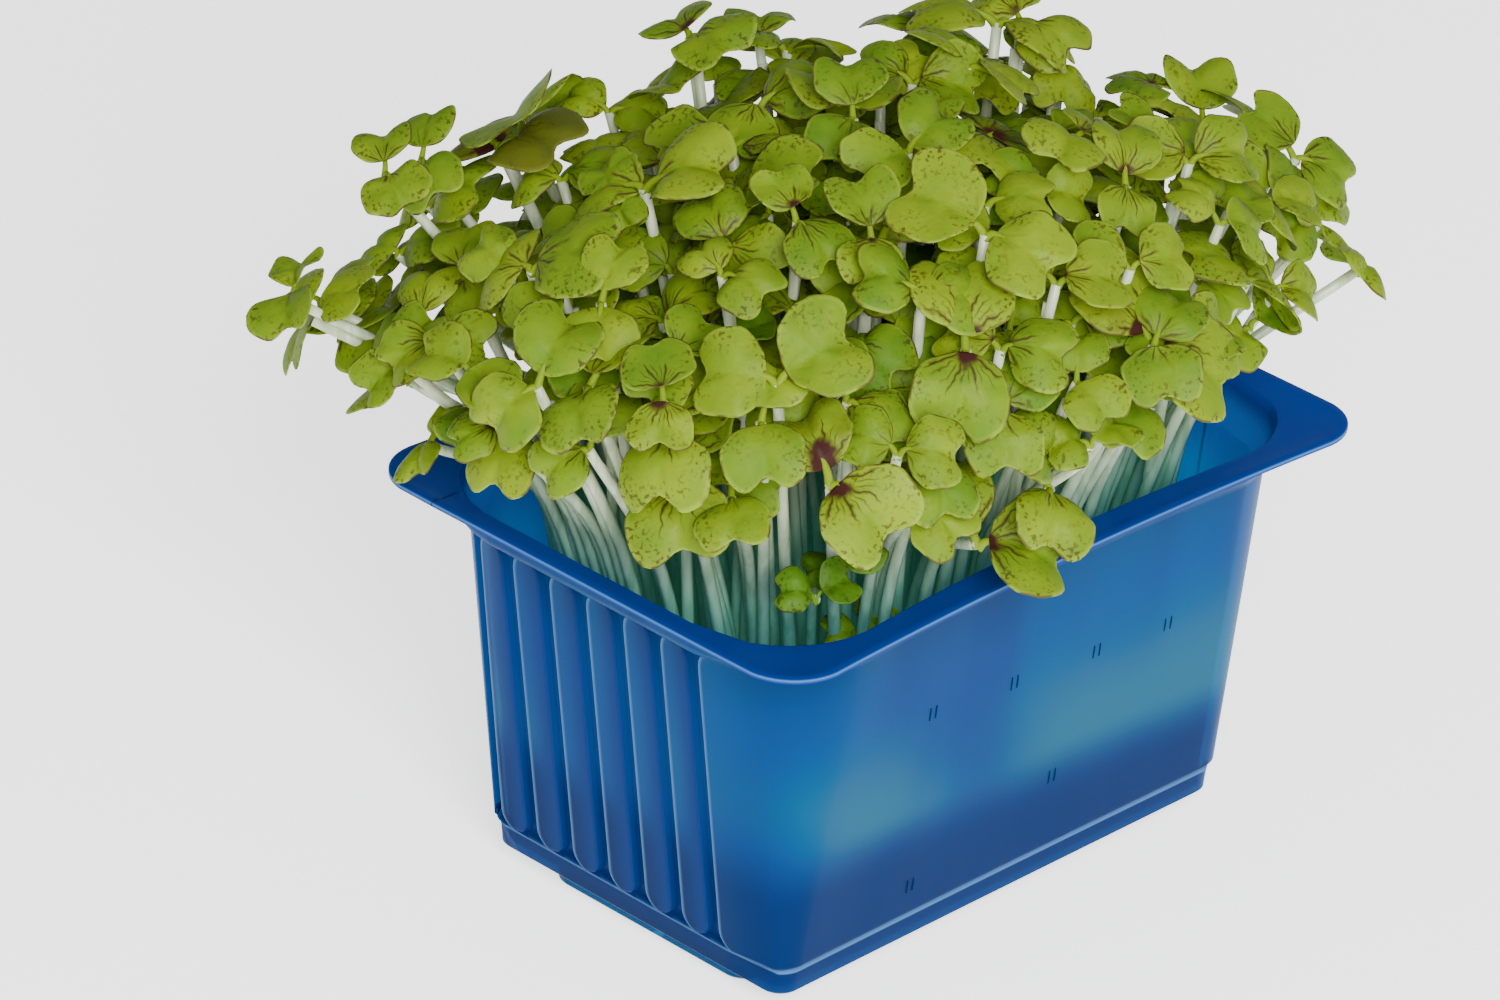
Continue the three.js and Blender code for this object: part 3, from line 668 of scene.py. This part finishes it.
felt_rings = [cavity_level(MAT_TOP + GAP, share, 1) for share in (0.4, 0.8, 0.965)]
felt_rings += [cavity_level(MAT_TOP + FELT_HEIGHT, share, 1) for share in (0.975, *FADE)]
points, faces = skin(felt_rings)
belong(make_object("root_felt", points, faces, FELT), "stem")

# %% [markdown]
# Where the seedlings stand
#
# The model places its seedlings by one seeded rule: some stand at listed places, where heads stand in
# the photograph, the rest are spread like a sunflower's seeds, and each then turns or shifts until its
# leaves are clear of those that stand already. The same rule runs here, draw for draw, so the fine
# leaves and stems lie on the model's.

# %% Sizes of the crop
BLADE_LENGTH = 12.6
BLADE_HALF_WIDTH = 8.2
HALF_L = 66
HALF_W = 54
CROWN = 114
EDGE_DROP = 27
EDGE_CURVE = 2.2
TOP_HEADS = 56
UNDER_HEADS = 14
STEM_GAP = 1.6
ROOT_OVAL = (43, 27)
MOUTH_OVAL = (50, 31.5)
RIM_BOX = (50, 31)
GOLDEN_ANGLE = 2.399963
SPOTS = 220
WHOLE = 0xFFFFFFFF

# %% Heads with a chosen place: x, y, z of the joint, turn of the first leaf, size
PLACED_HEADS = [
    (-45, 57, 78, 80, 1.1), (-56, 38, 83, 20, 0.9), (-53, 60, 87, -20, 0.9), (-36, 56, 95, 10, 0.95),
    (-30, 49, 91, 200, 1.15), (-24, 50, 99, 60, 1.2), (-15, 45, 101, 70, 0.85), (-6, 42, 102, 150, 0.9),
    (2, 37, 107, 75, 1.15), (13, 33, 108, 20, 0.9), (6, 14, 114, 90, 1.2), (-14, 17, 112, 0, 1.0),
    (-24, 5, 112, 100, 1.1), (27, 20, 113, 170, 1.0), (36, 13, 115, 60, 1.1), (44, 9, 110, 30, 0.9),
    (12, -8, 114, 95, 1.25), (50, 22, 102, 140, 0.95), (57, -4, 101, 85, 1.05), (66, -17, 92, 60, 1.1),
    (69, -31, 88, 10, 0.8), (36, -38, 95, -60, 1.0), (10, -44, 96, -75, 1.15), (-11, -45, 81, 70, 0.95),
    (-22, -42, 75, -100, 1.1), (-30, -37, 84, -45, 0.75), (-20, -36, 100, 80, 1.1), (-45, -35, 90, -40, 1.05),
    (-46, -25, 97, 85, 1.05), (-53, -13, 85, -90, 1.1), (-55, -14, 96, 10, 1.0), (-58, 0, 93, -80, 0.95),
    (-60, 12, 90, -100, 1.15), (-51, 19, 99, 50, 1.1), (-61, 29, 83, -30, 0.8), (60, 14, 96, -20, 1.0),
]
LOW_HEADS = [
    (-42.7, -31, 64, 40, 0.5), (-35.2, -28.1, 64, -30, 0.55), (-27.6, -25.3, 65, 60, 0.5),
    (19.3, -28.6, 72, 20, 0.6), (21.4, -34.5, 71, 80, 0.5), (-18.5, -23.4, 72, -20, 0.6),
    (-48, 28.2, 72, 50, 0.55), (43, 26, 72, 10, 0.6),
]

# %% The seeded rule
def random_source(seed):
    """Numbers from 0 to 1 in a fixed order, by mixing the bits of a counter."""
    state = [seed]

    def draw():
        state[0] = (state[0] + 0x6D2B79F5) & WHOLE
        t = state[0]
        t = ((t ^ (t >> 15)) * (t | 1)) & WHOLE
        t ^= (t + (((t ^ (t >> 7)) * (t | 61)) & WHOLE)) & WHOLE
        return ((t ^ (t >> 14)) & WHOLE) / 4294967296

    return draw


def unit(vector):
    """The same direction with length 1."""
    return vector / np.linalg.norm(vector)


def within(x, y, half_l, half_w):
    """The spot itself inside a full-cornered oval, and otherwise its nearest on the way to the middle."""
    reach = ((x / half_l) ** 4 + (y / half_w) ** 4) ** 0.25
    return (x / reach, y / reach) if reach > 1 else (x, y)


def seedling(x, y, z, turn, size, random, tilt=0.95, to_light=0.0):
    """A plant whose head faces outwards from the crown, with a random lean, root, fold and droop."""
    lean = 0.1 + 0.32 * random()
    lean_angle = 2 * math.pi * random()
    root_x = x * 0.66 + (random() - 0.5) * 9
    root_y = y * 0.56 + (random() - 0.5) * 8
    second = 0.8 + 0.2 * random()
    spread = 2.35 + 0.7 * random()
    fold = -0.3 + 0.75 * random()
    droop = 0.1 + 0.6 * random()
    face = unit(np.array([
        tilt * x / HALF_L + lean * math.cos(lean_angle) - to_light,
        tilt * y / HALF_W + lean * math.sin(lean_angle) - to_light,
        1,
    ]))
    return {
        "hub": np.array([x, y, z], float), "root": within(root_x, root_y, *ROOT_OVAL), "face": face,
        "turn": turn, "size": size, "second": second, "spread": spread, "fold": fold, "droop": droop,
        "tip": STEM_GAP,
    }


def scatter(plants, wanted, spacing, depth, reach, random, *pose):
    """Heads at the golden angle over an oval dome, each shaken a little, where there is room."""
    goal = len(plants) + wanted
    gap = spacing
    while len(plants) < goal and gap > 3:
        for i in range(SPOTS):
            if len(plants) >= goal:
                break
            radius = reach * math.sqrt((i + 0.5) / SPOTS)
            angle = i * GOLDEN_ANGLE
            x = HALF_L * radius * math.cos(angle) + 4 * (random() - 0.5)
            y = HALF_W * radius * math.sin(angle) + 4 * (random() - 0.5)
            dome = CROWN - EDGE_DROP * math.hypot(x / HALF_L, y / HALF_W) ** EDGE_CURVE
            z = dome - depth + 5 * (random() - 0.5)
            turn = 360 * random()
            size = 0.85 + 0.3 * random()
            if all(math.hypot(p["hub"][0] - x, p["hub"][1] - y) > gap for p in plants):
                plants.append(seedling(x, y, z, turn, size, random, *pose))
        gap -= 1
    return plants


# %% The frame of a leaf and the path of a stem
def leaf_of(plant, which):
    """A leaf's own directions: `along` turns in the head's plane, `across` is square to it."""
    flat = unit(np.cross((0, 0, 1), plant["face"]))
    rise = np.cross(plant["face"], flat)
    angle = math.radians(plant["turn"]) + (plant["spread"] if which else 0)
    along = flat * math.cos(angle) + rise * math.sin(angle)
    return {
        "size": plant["size"] * (plant["second"] if which else 1),
        "fold": plant["fold"] * (0.7 if which else 1),
        "droop": plant["droop"] * (1.2 if which else 1),
        "stalk": 3.4 * plant["size"],
        "along": along,
        "across": np.cross(plant["face"], along),
    }


def leaf_points(plant, leaf, u, v, lift=0.0):
    """Leaf places u along and v across: the halves fold about the midrib, the tip droops as u squared."""
    u = np.asarray(u, float)
    v = np.asarray(v, float)
    bend = leaf["fold"] * (np.sqrt(v * v + 1.4) - 1.18) - leaf["droop"] * u * u / 16
    out = plant["hub"] + (leaf["stalk"] + u)[:, None] * leaf["along"] + v[:, None] * leaf["across"]
    return out + (1 + bend + lift)[:, None] * plant["face"]


def stem_path(plant):
    """From the felt upright, through the tray's mouth, and out to the head."""
    x, y, z = plant["hub"]
    root_x, root_y = plant["root"]
    mouth_x, mouth_y = within(mix(root_x, x, 0.45), mix(root_y, y, 0.42), *MOUTH_OVAL)
    base = MAT_TOP + GAP + 0.6 * FELT_HEIGHT + mat_swell(root_x, root_y)
    mouth = min(HEIGHT + 1.5, z - 7)
    return np.array([
        (root_x, root_y, base),
        (mix(root_x, mouth_x, 0.3), mix(root_y, mouth_y, 0.3), mix(base, mouth, 0.52)),
        (mouth_x, mouth_y, mouth),
        (x, y, z - plant["tip"]),
    ])


# %% Each head settles where it is clear of the others
SAMPLE_U, SAMPLE_V = [part.ravel() for part in np.meshgrid([0.05, 0.4, 0.8], [-0.72, 0, 0.72], indexing="ij")]


def leaf_samples(plant):
    """Nine points on each leaf stand for it."""
    samples = []
    for which in (0, 1):
        leaf = leaf_of(plant, which)
        along = SAMPLE_U * BLADE_LENGTH * leaf["size"]
        across = SAMPLE_V * BLADE_HALF_WIDTH * leaf["size"]
        samples.append(leaf_points(plant, leaf, along, across))
    return np.concatenate(samples)


def stem_samples(plant):
    """Five points on the upper stem stand for it."""
    path = stem_path(plant)
    return mix(path[2], path[3], np.array([0, 0.2, 0.4, 0.6, 0.8])[:, None])


def crowding(mine, others, reach):
    """The sum of squares of how far pairs of points come within reach."""
    if not len(others):
        return 0.0
    gaps = np.linalg.norm(mine[:, None] - others[None], axis=2)
    return float((np.maximum(reach - gaps, 0) ** 2).sum())


def hanging(points, clear):
    """How far leaves over the rim of the tray hang below a height that is clear of it."""
    over = (np.abs(points[:, 0]) > RIM_BOX[0]) | (np.abs(points[:, 1]) > RIM_BOX[1])
    return float((np.maximum(HEIGHT + clear - points[:, 2], 0) * over).sum())


def settle(plants, standing, rises, swings, clear=3.5):
    """Each head tries rises and turns, and takes the one with the least crowding."""
    leaves = np.concatenate([leaf_samples(plant) for plant in standing] or [np.zeros((0, 3))])
    stems = np.concatenate([stem_samples(plant) for plant in standing] or [np.zeros((0, 3))])
    for plant in plants:
        turn = plant["turn"]
        z = plant["hub"][2]
        best = (math.inf, 0, 0)
        for rise in rises:
            for swing in swings:
                plant["hub"][2] = z + rise
                plant["turn"] = turn + swing
                blades = leaf_samples(plant)
                cost = crowding(blades, leaves, 5) + crowding(blades, stems, 4) + 20 * hanging(blades, clear)
                cost += crowding(stem_samples(plant), leaves, 4) + 0.02 * abs(rise) + 0.001 * abs(swing)
                if cost < best[0]:
                    best = (cost, rise, swing)
        plant["hub"][2] = z + best[1]
        plant["turn"] = turn + best[2]
        leaves = np.concatenate([leaves, leaf_samples(plant)])
        stems = np.concatenate([stems, stem_samples(plant)])
    return plants


# %% The model's own seedlings
random = random_source(20261)
tops = [seedling(*row, random) for row in PLACED_HEADS]
tops = scatter(tops, TOP_HEADS - len(tops), 12.2, 0, 0.95, random)
unders = [seedling(*row, random) for row in LOW_HEADS]
unders = scatter(unders, UNDER_HEADS - len(unders), 12.5, 13, 0.8, random)
for plant in unders:
    plant["tip"] = -0.3
settle(tops + unders, [], (0, 2.5, -2.5, 5, -5, 7.5, -7.5, -10), (0, 25, -25, 50, -50, 80, -80))
print(len(tops), "top heads and", len(unders), "low ones as in the model")

# %% [markdown]
# The real crop is thicker than the model's solids. More seedlings stand between the top heads, just
# below them, and small ones deep in the shade. They keep clear of the model's by the same rule. A
# bare stem beside each of the upper ones fills the gaps lower down.

# %% More heads with a chosen place, along the top's outline
MORE_HEADS = [
    (-63, 56, 91, -20, 0.9), (-57, 56, 86, 0, 0.9), (-54, 55, 80, -60, 1.1), (-47, 55, 82, 30, 0.9),
    (-42, 56, 84, 60, 0.9), (-39, 56, 88, -50, 1.0), (-45, 56, 98, -70, 0.9), (-38, 56, 98, -70, 0.9),
    (-32, 56, 91, -90, 1.1), (-29, 55, 87, 30, 1.0), (-54, 39, 84, 80, 0.9), (-62, 33, 82, 0, 0.8),
    (-60, 28, 87, -80, 0.9), (-47, 38, 89, -20, 1.0), (-30, 48, 103, 60, 1.0), (-21, 50, 95, 80, 0.9),
    (-30, 35, 100, 20, 0.9), (-37, 22, 104, -10, 0.9), (-50, 24, 96, -40, 1.0), (-50, 14, 100, -60, 0.9),
    (-64, 4, 91, -10, 1.1), (-52, 4, 100, -30, 1.0), (-11, 45, 101, -90, 0.8), (-7, 43, 103, -10, 0.9),
    (-1, 39, 112, -10, 1.1), (3, 37, 109, -30, 0.9), (8, 34, 111, -40, 0.9), (13, 31, 111, 0, 1.0),
    (19, 26, 111, 0, 1.1), (10, 11, 112, 20, 0.9), (29, 20, 110, -70, 1.0), (34, 15, 112, 10, 1.1),
    (39, 11, 112, 30, 1.0), (44, 7, 110, 70, 0.9), (48, 3, 104, -20, 0.9), (54, -2, 101, -40, 0.9),
    (60, -7, 96, -20, 1.0), (64, -11, 96, 60, 1.0), (66, -20, 93, -10, 1.0), (66, -25, 91, -70, 0.9),
    (49, -29, 95, 80, 0.9), (45, -36, 92, 0, 0.8), (33, -35, 99, -90, 0.9), (38, -24, 103, 0, 1.0),
    (-64, 17, 88, 90, 0.9), (-64, 11, 84, 0, 0.8), (-58, -15, 94, 70, 0.9), (-50, -26, 95, -30, 1.0),
    (-36, -39, 95, 40, 0.9), (-14, -37, 103, 40, 1.0), (-1, -35, 106, 0, 1.0), (11, -38, 103, 40, 0.9),
    (15, -45, 96, 50, 0.9), (-3, -45, 80, -40, 0.8),
]

# %% More seedlings
STAINED_HEAD = 14
STAINED_SIZE = 1.3
LOOSE = (0.5, 0.28)  # the heads face outwards less than the model's, and a little to the light
RIM_CLEAR = 13
more_random = random_source(77)
outer = [seedling(*row, more_random, *LOOSE) for row in MORE_HEADS]
between = scatter([], 74, 9, 3, 0.92, more_random, *LOOSE)
filling = scatter([], 46, 10, 12, 0.85, more_random, *LOOSE)
deep = scatter([], 26, 12, 27, 0.7, more_random)
outer[STAINED_HEAD]["size"] = STAINED_SIZE
for plants, share in ((outer, 0.84), (between, 0.76), (filling, 0.72), (deep, 0.5)):
    for plant in plants:
        plant["size"] *= share
settle(outer, tops + unders, (0, -2, 2.5, 5), (0, 45, -45, 90), RIM_CLEAR)
settle(between, tops + unders + outer, (0, -3, 3, 6), (0, 45, -45, 90), RIM_CLEAR)
settle(filling, tops + unders, (0, 4), (0, 60), RIM_CLEAR)

# %% Bare stems between them
SPARE_SHAKE = 9
SPARE_DROP = 3.5
spare = []
for plant in outer + between:
    x, y, z = plant["hub"]
    root_x, root_y = plant["root"]
    shift_x = SPARE_SHAKE * (more_random() - 0.5)
    shift_y = SPARE_SHAKE * (more_random() - 0.5)
    spare.append(dict(
        plant, hub=np.array([0.96 * x, 0.96 * y, z - SPARE_DROP]), size=0.9,
        root=within(1.15 * root_x + shift_x, 1.15 * root_y + shift_y, *ROOT_OVAL),
    ))
counts = (len(outer), len(between), len(filling), len(deep), len(spare))
print("outer, between, below, deep and bare stems:", *counts)

# %% [markdown]
# Leaves
#
# A seed leaf is heart-shaped: round lobes, a notch at the tip, and a groove down the middle. Its
# outline is a function of the angle about the leaf's middle. Rings of that outline, shrunk towards
# the middle, make an upper and a lower face, which meet in a thin edge. Waves, a groove and a cup
# shape are added along the leaf's own normal.

# %% Shape of a blade
RIM_STEPS = 40
RING_STOPS = np.array([0.28, 0.56, 0.8, 0.94, 1.0])
BLADE_THICKNESS = 0.4
BASE_SHIFT = 0.6
FINE_SHARE = 0.86


def outline(around):
    """A flattened half oval towards the tip, less a bell-shaped notch, and a half oval at the base."""
    ahead = np.maximum(np.cos(around), 0) ** 0.6
    notch = 0.42 * np.exp(-((around / 0.36) ** 2))
    behind = np.minimum(np.cos(around), 0)
    return 0.46 + 0.55 * (ahead - notch) + 0.46 * behind, np.sin(around)


def blade_faces():
    """Two fans with rings round them, the lower turned over, and a band of quads that joins them."""
    layer = 1 + len(RING_STOPS) * RIM_STEPS
    rings = 1 + np.arange(len(RING_STOPS) * RIM_STEPS).reshape(-1, RIM_STEPS)
    after = np.roll(rings, -1, axis=1)
    fan = np.stack([np.zeros(RIM_STEPS, int), rings[0], after[0]], axis=1)
    quads = np.stack([rings[:-1], rings[1:], after[1:], after[:-1]], axis=-1).reshape(-1, 4)
    edge = np.stack([rings[-1], layer + rings[-1], layer + after[-1], after[-1]], axis=1)
    return [fan, fan[:, ::-1] + layer, quads, quads[:, ::-1] + layer, edge]


BLADE_FACES = blade_faces()


# %% A pile of small pieces becomes one mesh
class Pile:
    """Points, faces and painted values of many small pieces, gathered for one mesh."""

    def __init__(self):
        self.points, self.faces, self.uv, self.marks = [], [], [], []
        self.count = 0

    def add(self, points, faces, uv=None, marks=None):
        """Faces count on from the points that are there already; a piece without a map lies off it."""
        self.faces += [part + self.count for part in faces]
        self.points.append(points)
        self.count += len(points)
        self.uv.append(np.full((len(points), 2), 2.0) if uv is None else uv)
        self.marks.append(np.zeros((len(points), 3)) if marks is None else marks)

    def build(self, name, material):
        """One mesh with the leaf's map on its corners and the painted values on its points."""
        made = make_object(name, np.concatenate(self.points), self.faces, material)
        corners = np.empty(len(made.data.loops), np.int32)
        made.data.loops.foreach_get("vertex_index", corners)
        layer = made.data.uv_layers.new(name="leaf")
        layer.data.foreach_set("uv", np.concatenate(self.uv)[corners].ravel())
        attribute = made.data.attributes.new("mark", "FLOAT_COLOR", "POINT")
        marks = np.concatenate(self.marks)
        attribute.data.foreach_set("color", np.column_stack([marks, np.ones(len(marks))]).ravel())
        return made


# %% Blades and their looks
def add_blade(pile, plant, which, look):
    """One leaf: outline rings with a wobble, then wave, midrib groove and cup along the normal."""
    leaf = leaf_of(plant, which)
    around = np.linspace(-math.pi, math.pi, RIM_STEPS, endpoint=False)
    rim_u, rim_v = outline(around)
    phase = look["phase"]
    wobble = 1 + 0.03 * np.sin(3 * around + phase) + 0.018 * np.sin(7 * around + 2 * phase)
    radius = np.concatenate([[0.0], np.repeat(RING_STOPS, RIM_STEPS)])
    turn = np.concatenate([[0.0], np.tile(around, len(RING_STOPS))])
    swing = np.concatenate([[0.0], (RING_STOPS[:, None] * mix(1, wobble, RING_STOPS[:, None])).ravel()])
    u = 0.42 + (np.concatenate([[0.42], np.tile(rim_u, len(RING_STOPS))]) - 0.42) * swing
    v = np.concatenate([[0.0], np.tile(rim_v, len(RING_STOPS))]) * swing
    wave = look["wave"] * radius ** 2 * np.sin(look["waves"] * turn + phase)
    groove = -0.5 * np.exp(-((v * BLADE_HALF_WIDTH / 1.3) ** 2)) * (1 - radius ** 4)
    sheet = wave + groove - look["cup"] * radius ** 2.4
    half = BLADE_THICKNESS / 2 * (1 - 0.7 * radius ** 3)
    share = plant.get("share", FINE_SHARE)
    long = share * BLADE_LENGTH * leaf["size"]
    wide = share * BLADE_HALF_WIDTH * leaf["size"]
    base = BASE_SHIFT * leaf["stalk"]
    places = u * (long + 0.4 * base) - base
    points = [leaf_points(plant, leaf, places, v * wide, sheet + side * half) for side in (1, -1)]
    upper = np.column_stack([radius, np.full(len(u), look["tint"]), np.full(len(u), look["purple"])])
    # The lower face is painted a deeper green, as shade on the leaf's underside, and it is less purple.
    lower = upper * (1, 1, 0.2) + (0, 0.15, 0)
    uv = np.stack([u, v], axis=1)
    pile.add(np.concatenate(points), BLADE_FACES, np.concatenate([uv, uv]), np.concatenate([upper, lower]))


look_random = random_source(5)


def look_of(purple, tint):
    """The small differences between leaves, drawn in a fixed order."""
    return {
        "phase": 6.283 * look_random(),
        "wave": 0.15 + 0.5 * look_random(),
        "waves": 2 + int(3 * look_random()),
        "cup": -0.1 + 2.1 * look_random(),
        "tint": tint + 0.5 * (look_random() - 0.5),
        "purple": purple,
    }


# %% [markdown]
# Stems and leaf stalks
#
# A stem is a smooth curve through the four points of its path, with a ring of points carried along
# it and a radius that narrows upwards. The two stalks of a head part from its tip in short curves.

# %% Tubes along curves
def curve(points, steps):
    """A curve through the points: cubics whose slope at a point follows its two neighbours."""
    points = np.asarray(points, float)
    padded = np.concatenate([[2 * points[0] - points[1]], points, [2 * points[-1] - points[-2]]])
    t = np.linspace(0, 1, steps, endpoint=False)[:, None]
    pieces = []
    for a, b, c, d in zip(padded, padded[1:], padded[2:], padded[3:]):
        pieces.append(b + 0.5 * t * (c - a + t * (2 * a - 5 * b + 4 * c - d + t * (3 * b - a - 3 * c + d))))
    return np.concatenate(pieces + [points[-1:]])


def tube(path, radii, sides):
    """A ring of points round every place of the path, square to its direction."""
    ahead = np.gradient(path, axis=0)
    ahead /= np.linalg.norm(ahead, axis=1)[:, None]
    first = np.cross(ahead, (0.31, 0.95, 0.05))
    first /= np.linalg.norm(first, axis=1)[:, None]
    other = np.cross(ahead, first)
    angles = np.arange(sides) * 2 * math.pi / sides
    ring = first[:, None] * np.cos(angles)[:, None] + other[:, None] * np.sin(angles)[:, None]
    return skin(path[:, None] + ring * radii[:, None, None])


def add_stalks(pile, plant):
    """Two short tubes from the stem's tip into the base of each leaf."""
    for which in (0, 1):
        leaf = leaf_of(plant, which)
        end = leaf_points(plant, leaf, [0.12 * BLADE_LENGTH * leaf["size"]], [0.0], -0.85)[0]
        neck = leaf_points(plant, leaf, [-0.6 * leaf["stalk"]], [0.0], -1.3)[0]
        path = curve([plant["hub"] - (0, 0, 1.7), neck, end], 4)
        points, faces = tube(path, np.linspace(0.8, 0.35, len(path)) * min(plant["size"], 1), 6)
        pile.add(points, faces, None, np.tile((0.0, 0.1, 0.0), (len(points), 1)))


def add_stem(pile, plant):
    """A tube from the felt to the head, 2.2 mm thick at the foot."""
    path = stem_path(plant)
    path[3][2] = plant["hub"][2] - 1.0
    line = curve(path, 6)
    radii = np.linspace(1.12, 0.82, len(line)) * (0.65 + 0.35 * min(plant["size"], 1))
    pile.add(*tube(line, radii, 7))


def add_plants(leaves, stems, plants, tint, most_purple, chosen=(), chosen_purple=0.0):
    """Every plant's two blades, two stalks and stem; some chosen heads are as purple as is said."""
    for number, plant in enumerate(plants):
        purple = most_purple * look_random() ** 1.3
        if number in chosen:
            purple = chosen_purple
        for which in (0, 1):
            add_blade(leaves, plant, which, look_of(min(purple * (0.85 + 0.3 * look_random()), 1.4), tint))
        add_stalks(leaves, plant)
        add_stem(stems, plant)


# %% Build the crop
CORNER_HEADS = (32, 34)
CORNER_SHARE = 0.64
VEINED_HEADS = (0, 3, 8, 10, 11, 16, 18, 19, 22, 24, 26, 27, 29, 44, 51)
leaves, outer_leaves, more_leaves, shaded_leaves, low_leaves = [Pile() for _ in range(5)]
stems, more_stems = Pile(), Pile()
for number in CORNER_HEADS:
    tops[number]["share"] = CORNER_SHARE
# The first number is the depth of green: piles lower in the crop get a deeper green as painted shade.
add_plants(leaves, stems, tops, 0.25, 0.55, VEINED_HEADS, 1.0)
add_plants(low_leaves, stems, unders, 0.5, 0.2)
add_plants(outer_leaves, more_stems, outer, 0.35, 0.75, (STAINED_HEAD,), 1.35)
add_plants(more_leaves, more_stems, between, 0.45, 0.7)
add_plants(shaded_leaves, more_stems, filling, 0.75, 0.3)
add_plants(low_leaves, more_stems, deep, 0.5, 0.2)
for plant in spare:
    add_stem(more_stems, plant)

heads = [f"leaf_pair_{i + 1:02d}" for i in range(TOP_HEADS)]
belong(leaves.build("leaf_pairs", LEAF), "leaf", *heads)
belong(outer_leaves.build("outer_leaf_pairs", LEAF), "leaf")
belong(stems.build("stems", STEM), "stem", "seedlings")
belong(more_leaves.build("more_leaf_pairs", LEAF), "leaf")
belong(more_stems.build("more_stems", STEM), "stem")
belong(shaded_leaves.build("shaded_leaf_pairs", LEAF), "leaf")
belong(low_leaves.build("low_leaves", SHADED_LOW_LEAF), "leaf")

# %% [markdown]
# Seed hulls
#
# A few brown hulls still cling near the tops of the stems. A hull is a small ball, a little flat and
# dented by a wave round its middle.

# %% Hulls
HULL_PLACES = [(11.7, -34.5, 75), (-30, 8, 99), (24, -20, 97), (-12, 30, 95), (38, 24, 96), (-44, -20, 84)]


def hull_points(centre, turn):
    """A ball of 12 by 7 points: radius 0.95, times 0.75 upwards, with three shallow dents."""
    across, down = np.meshgrid(np.arange(12) * math.pi / 6, np.linspace(0.12, math.pi - 0.12, 7)[::-1])
    radius = 0.95 * (1 + 0.08 * np.sin(3 * across + turn))
    x = radius * np.sin(down) * np.cos(across)
    y = radius * np.sin(down) * np.sin(across)
    return np.stack([x, y, 0.75 * radius * np.cos(down)], axis=-1) + np.array(centre)


hulls = Pile()
for number, centre in enumerate(HULL_PLACES):
    hulls.add(*skin(hull_points(centre, number)))
belong(hulls.build("seed_hulls", HULL), "stem")

# %% [markdown]
# Floor and light
#
# The tray stands on a plain pale floor in soft studio light: an even bright sky from all round, and
# one large lamp above and in front for soft shadows under the leaves.

# %% Floor and lamp
FLOOR, tree, shader = new_material("floor", 1.0)
shader.inputs["Base Color"].default_value = (0.97, 0.97, 0.97, 1)
shader.inputs["Emission Color"].default_value = (1, 1, 1, 1)
shader.inputs["Emission Strength"].default_value = 1.6
FLOOR_HALF = 3000
corners = FLOOR_HALF * np.array([(-1, -1, 0), (1, -1, 0), (1, 1, 0), (-1, 1, 0)], float)
make_object("floor", corners, [np.array([[0, 1, 2, 3]])], FLOOR)

world = bpy.data.worlds.new("studio")
bpy.context.scene.world = world
world.use_nodes = True
world.node_tree.nodes["Background"].inputs["Color"].default_value = (1, 1, 1, 1)
world.node_tree.nodes["Background"].inputs["Strength"].default_value = 0.55

LAMP_WIDTH = 0.6
LAMP_POWER = 25
lamp_place = np.array([-0.55, -0.8, 0.62])
lamp_data = bpy.data.lights.new("lamp", "AREA")
lamp_data.shape = "DISK"
lamp_data.size = LAMP_WIDTH
lamp_data.energy = LAMP_POWER
lamp = bpy.data.objects.new("lamp", lamp_data)
lamp_back = unit(lamp_place)
lamp_right = unit(np.cross((0, 1, 0), lamp_back))
lamp_pose = np.eye(4)
lamp_pose[:3] = np.stack([lamp_right, np.cross(lamp_back, lamp_right), lamp_back, lamp_place], axis=1)
lamp.matrix_world = Matrix(lamp_pose.tolist())
bpy.context.scene.collection.objects.link(lamp)
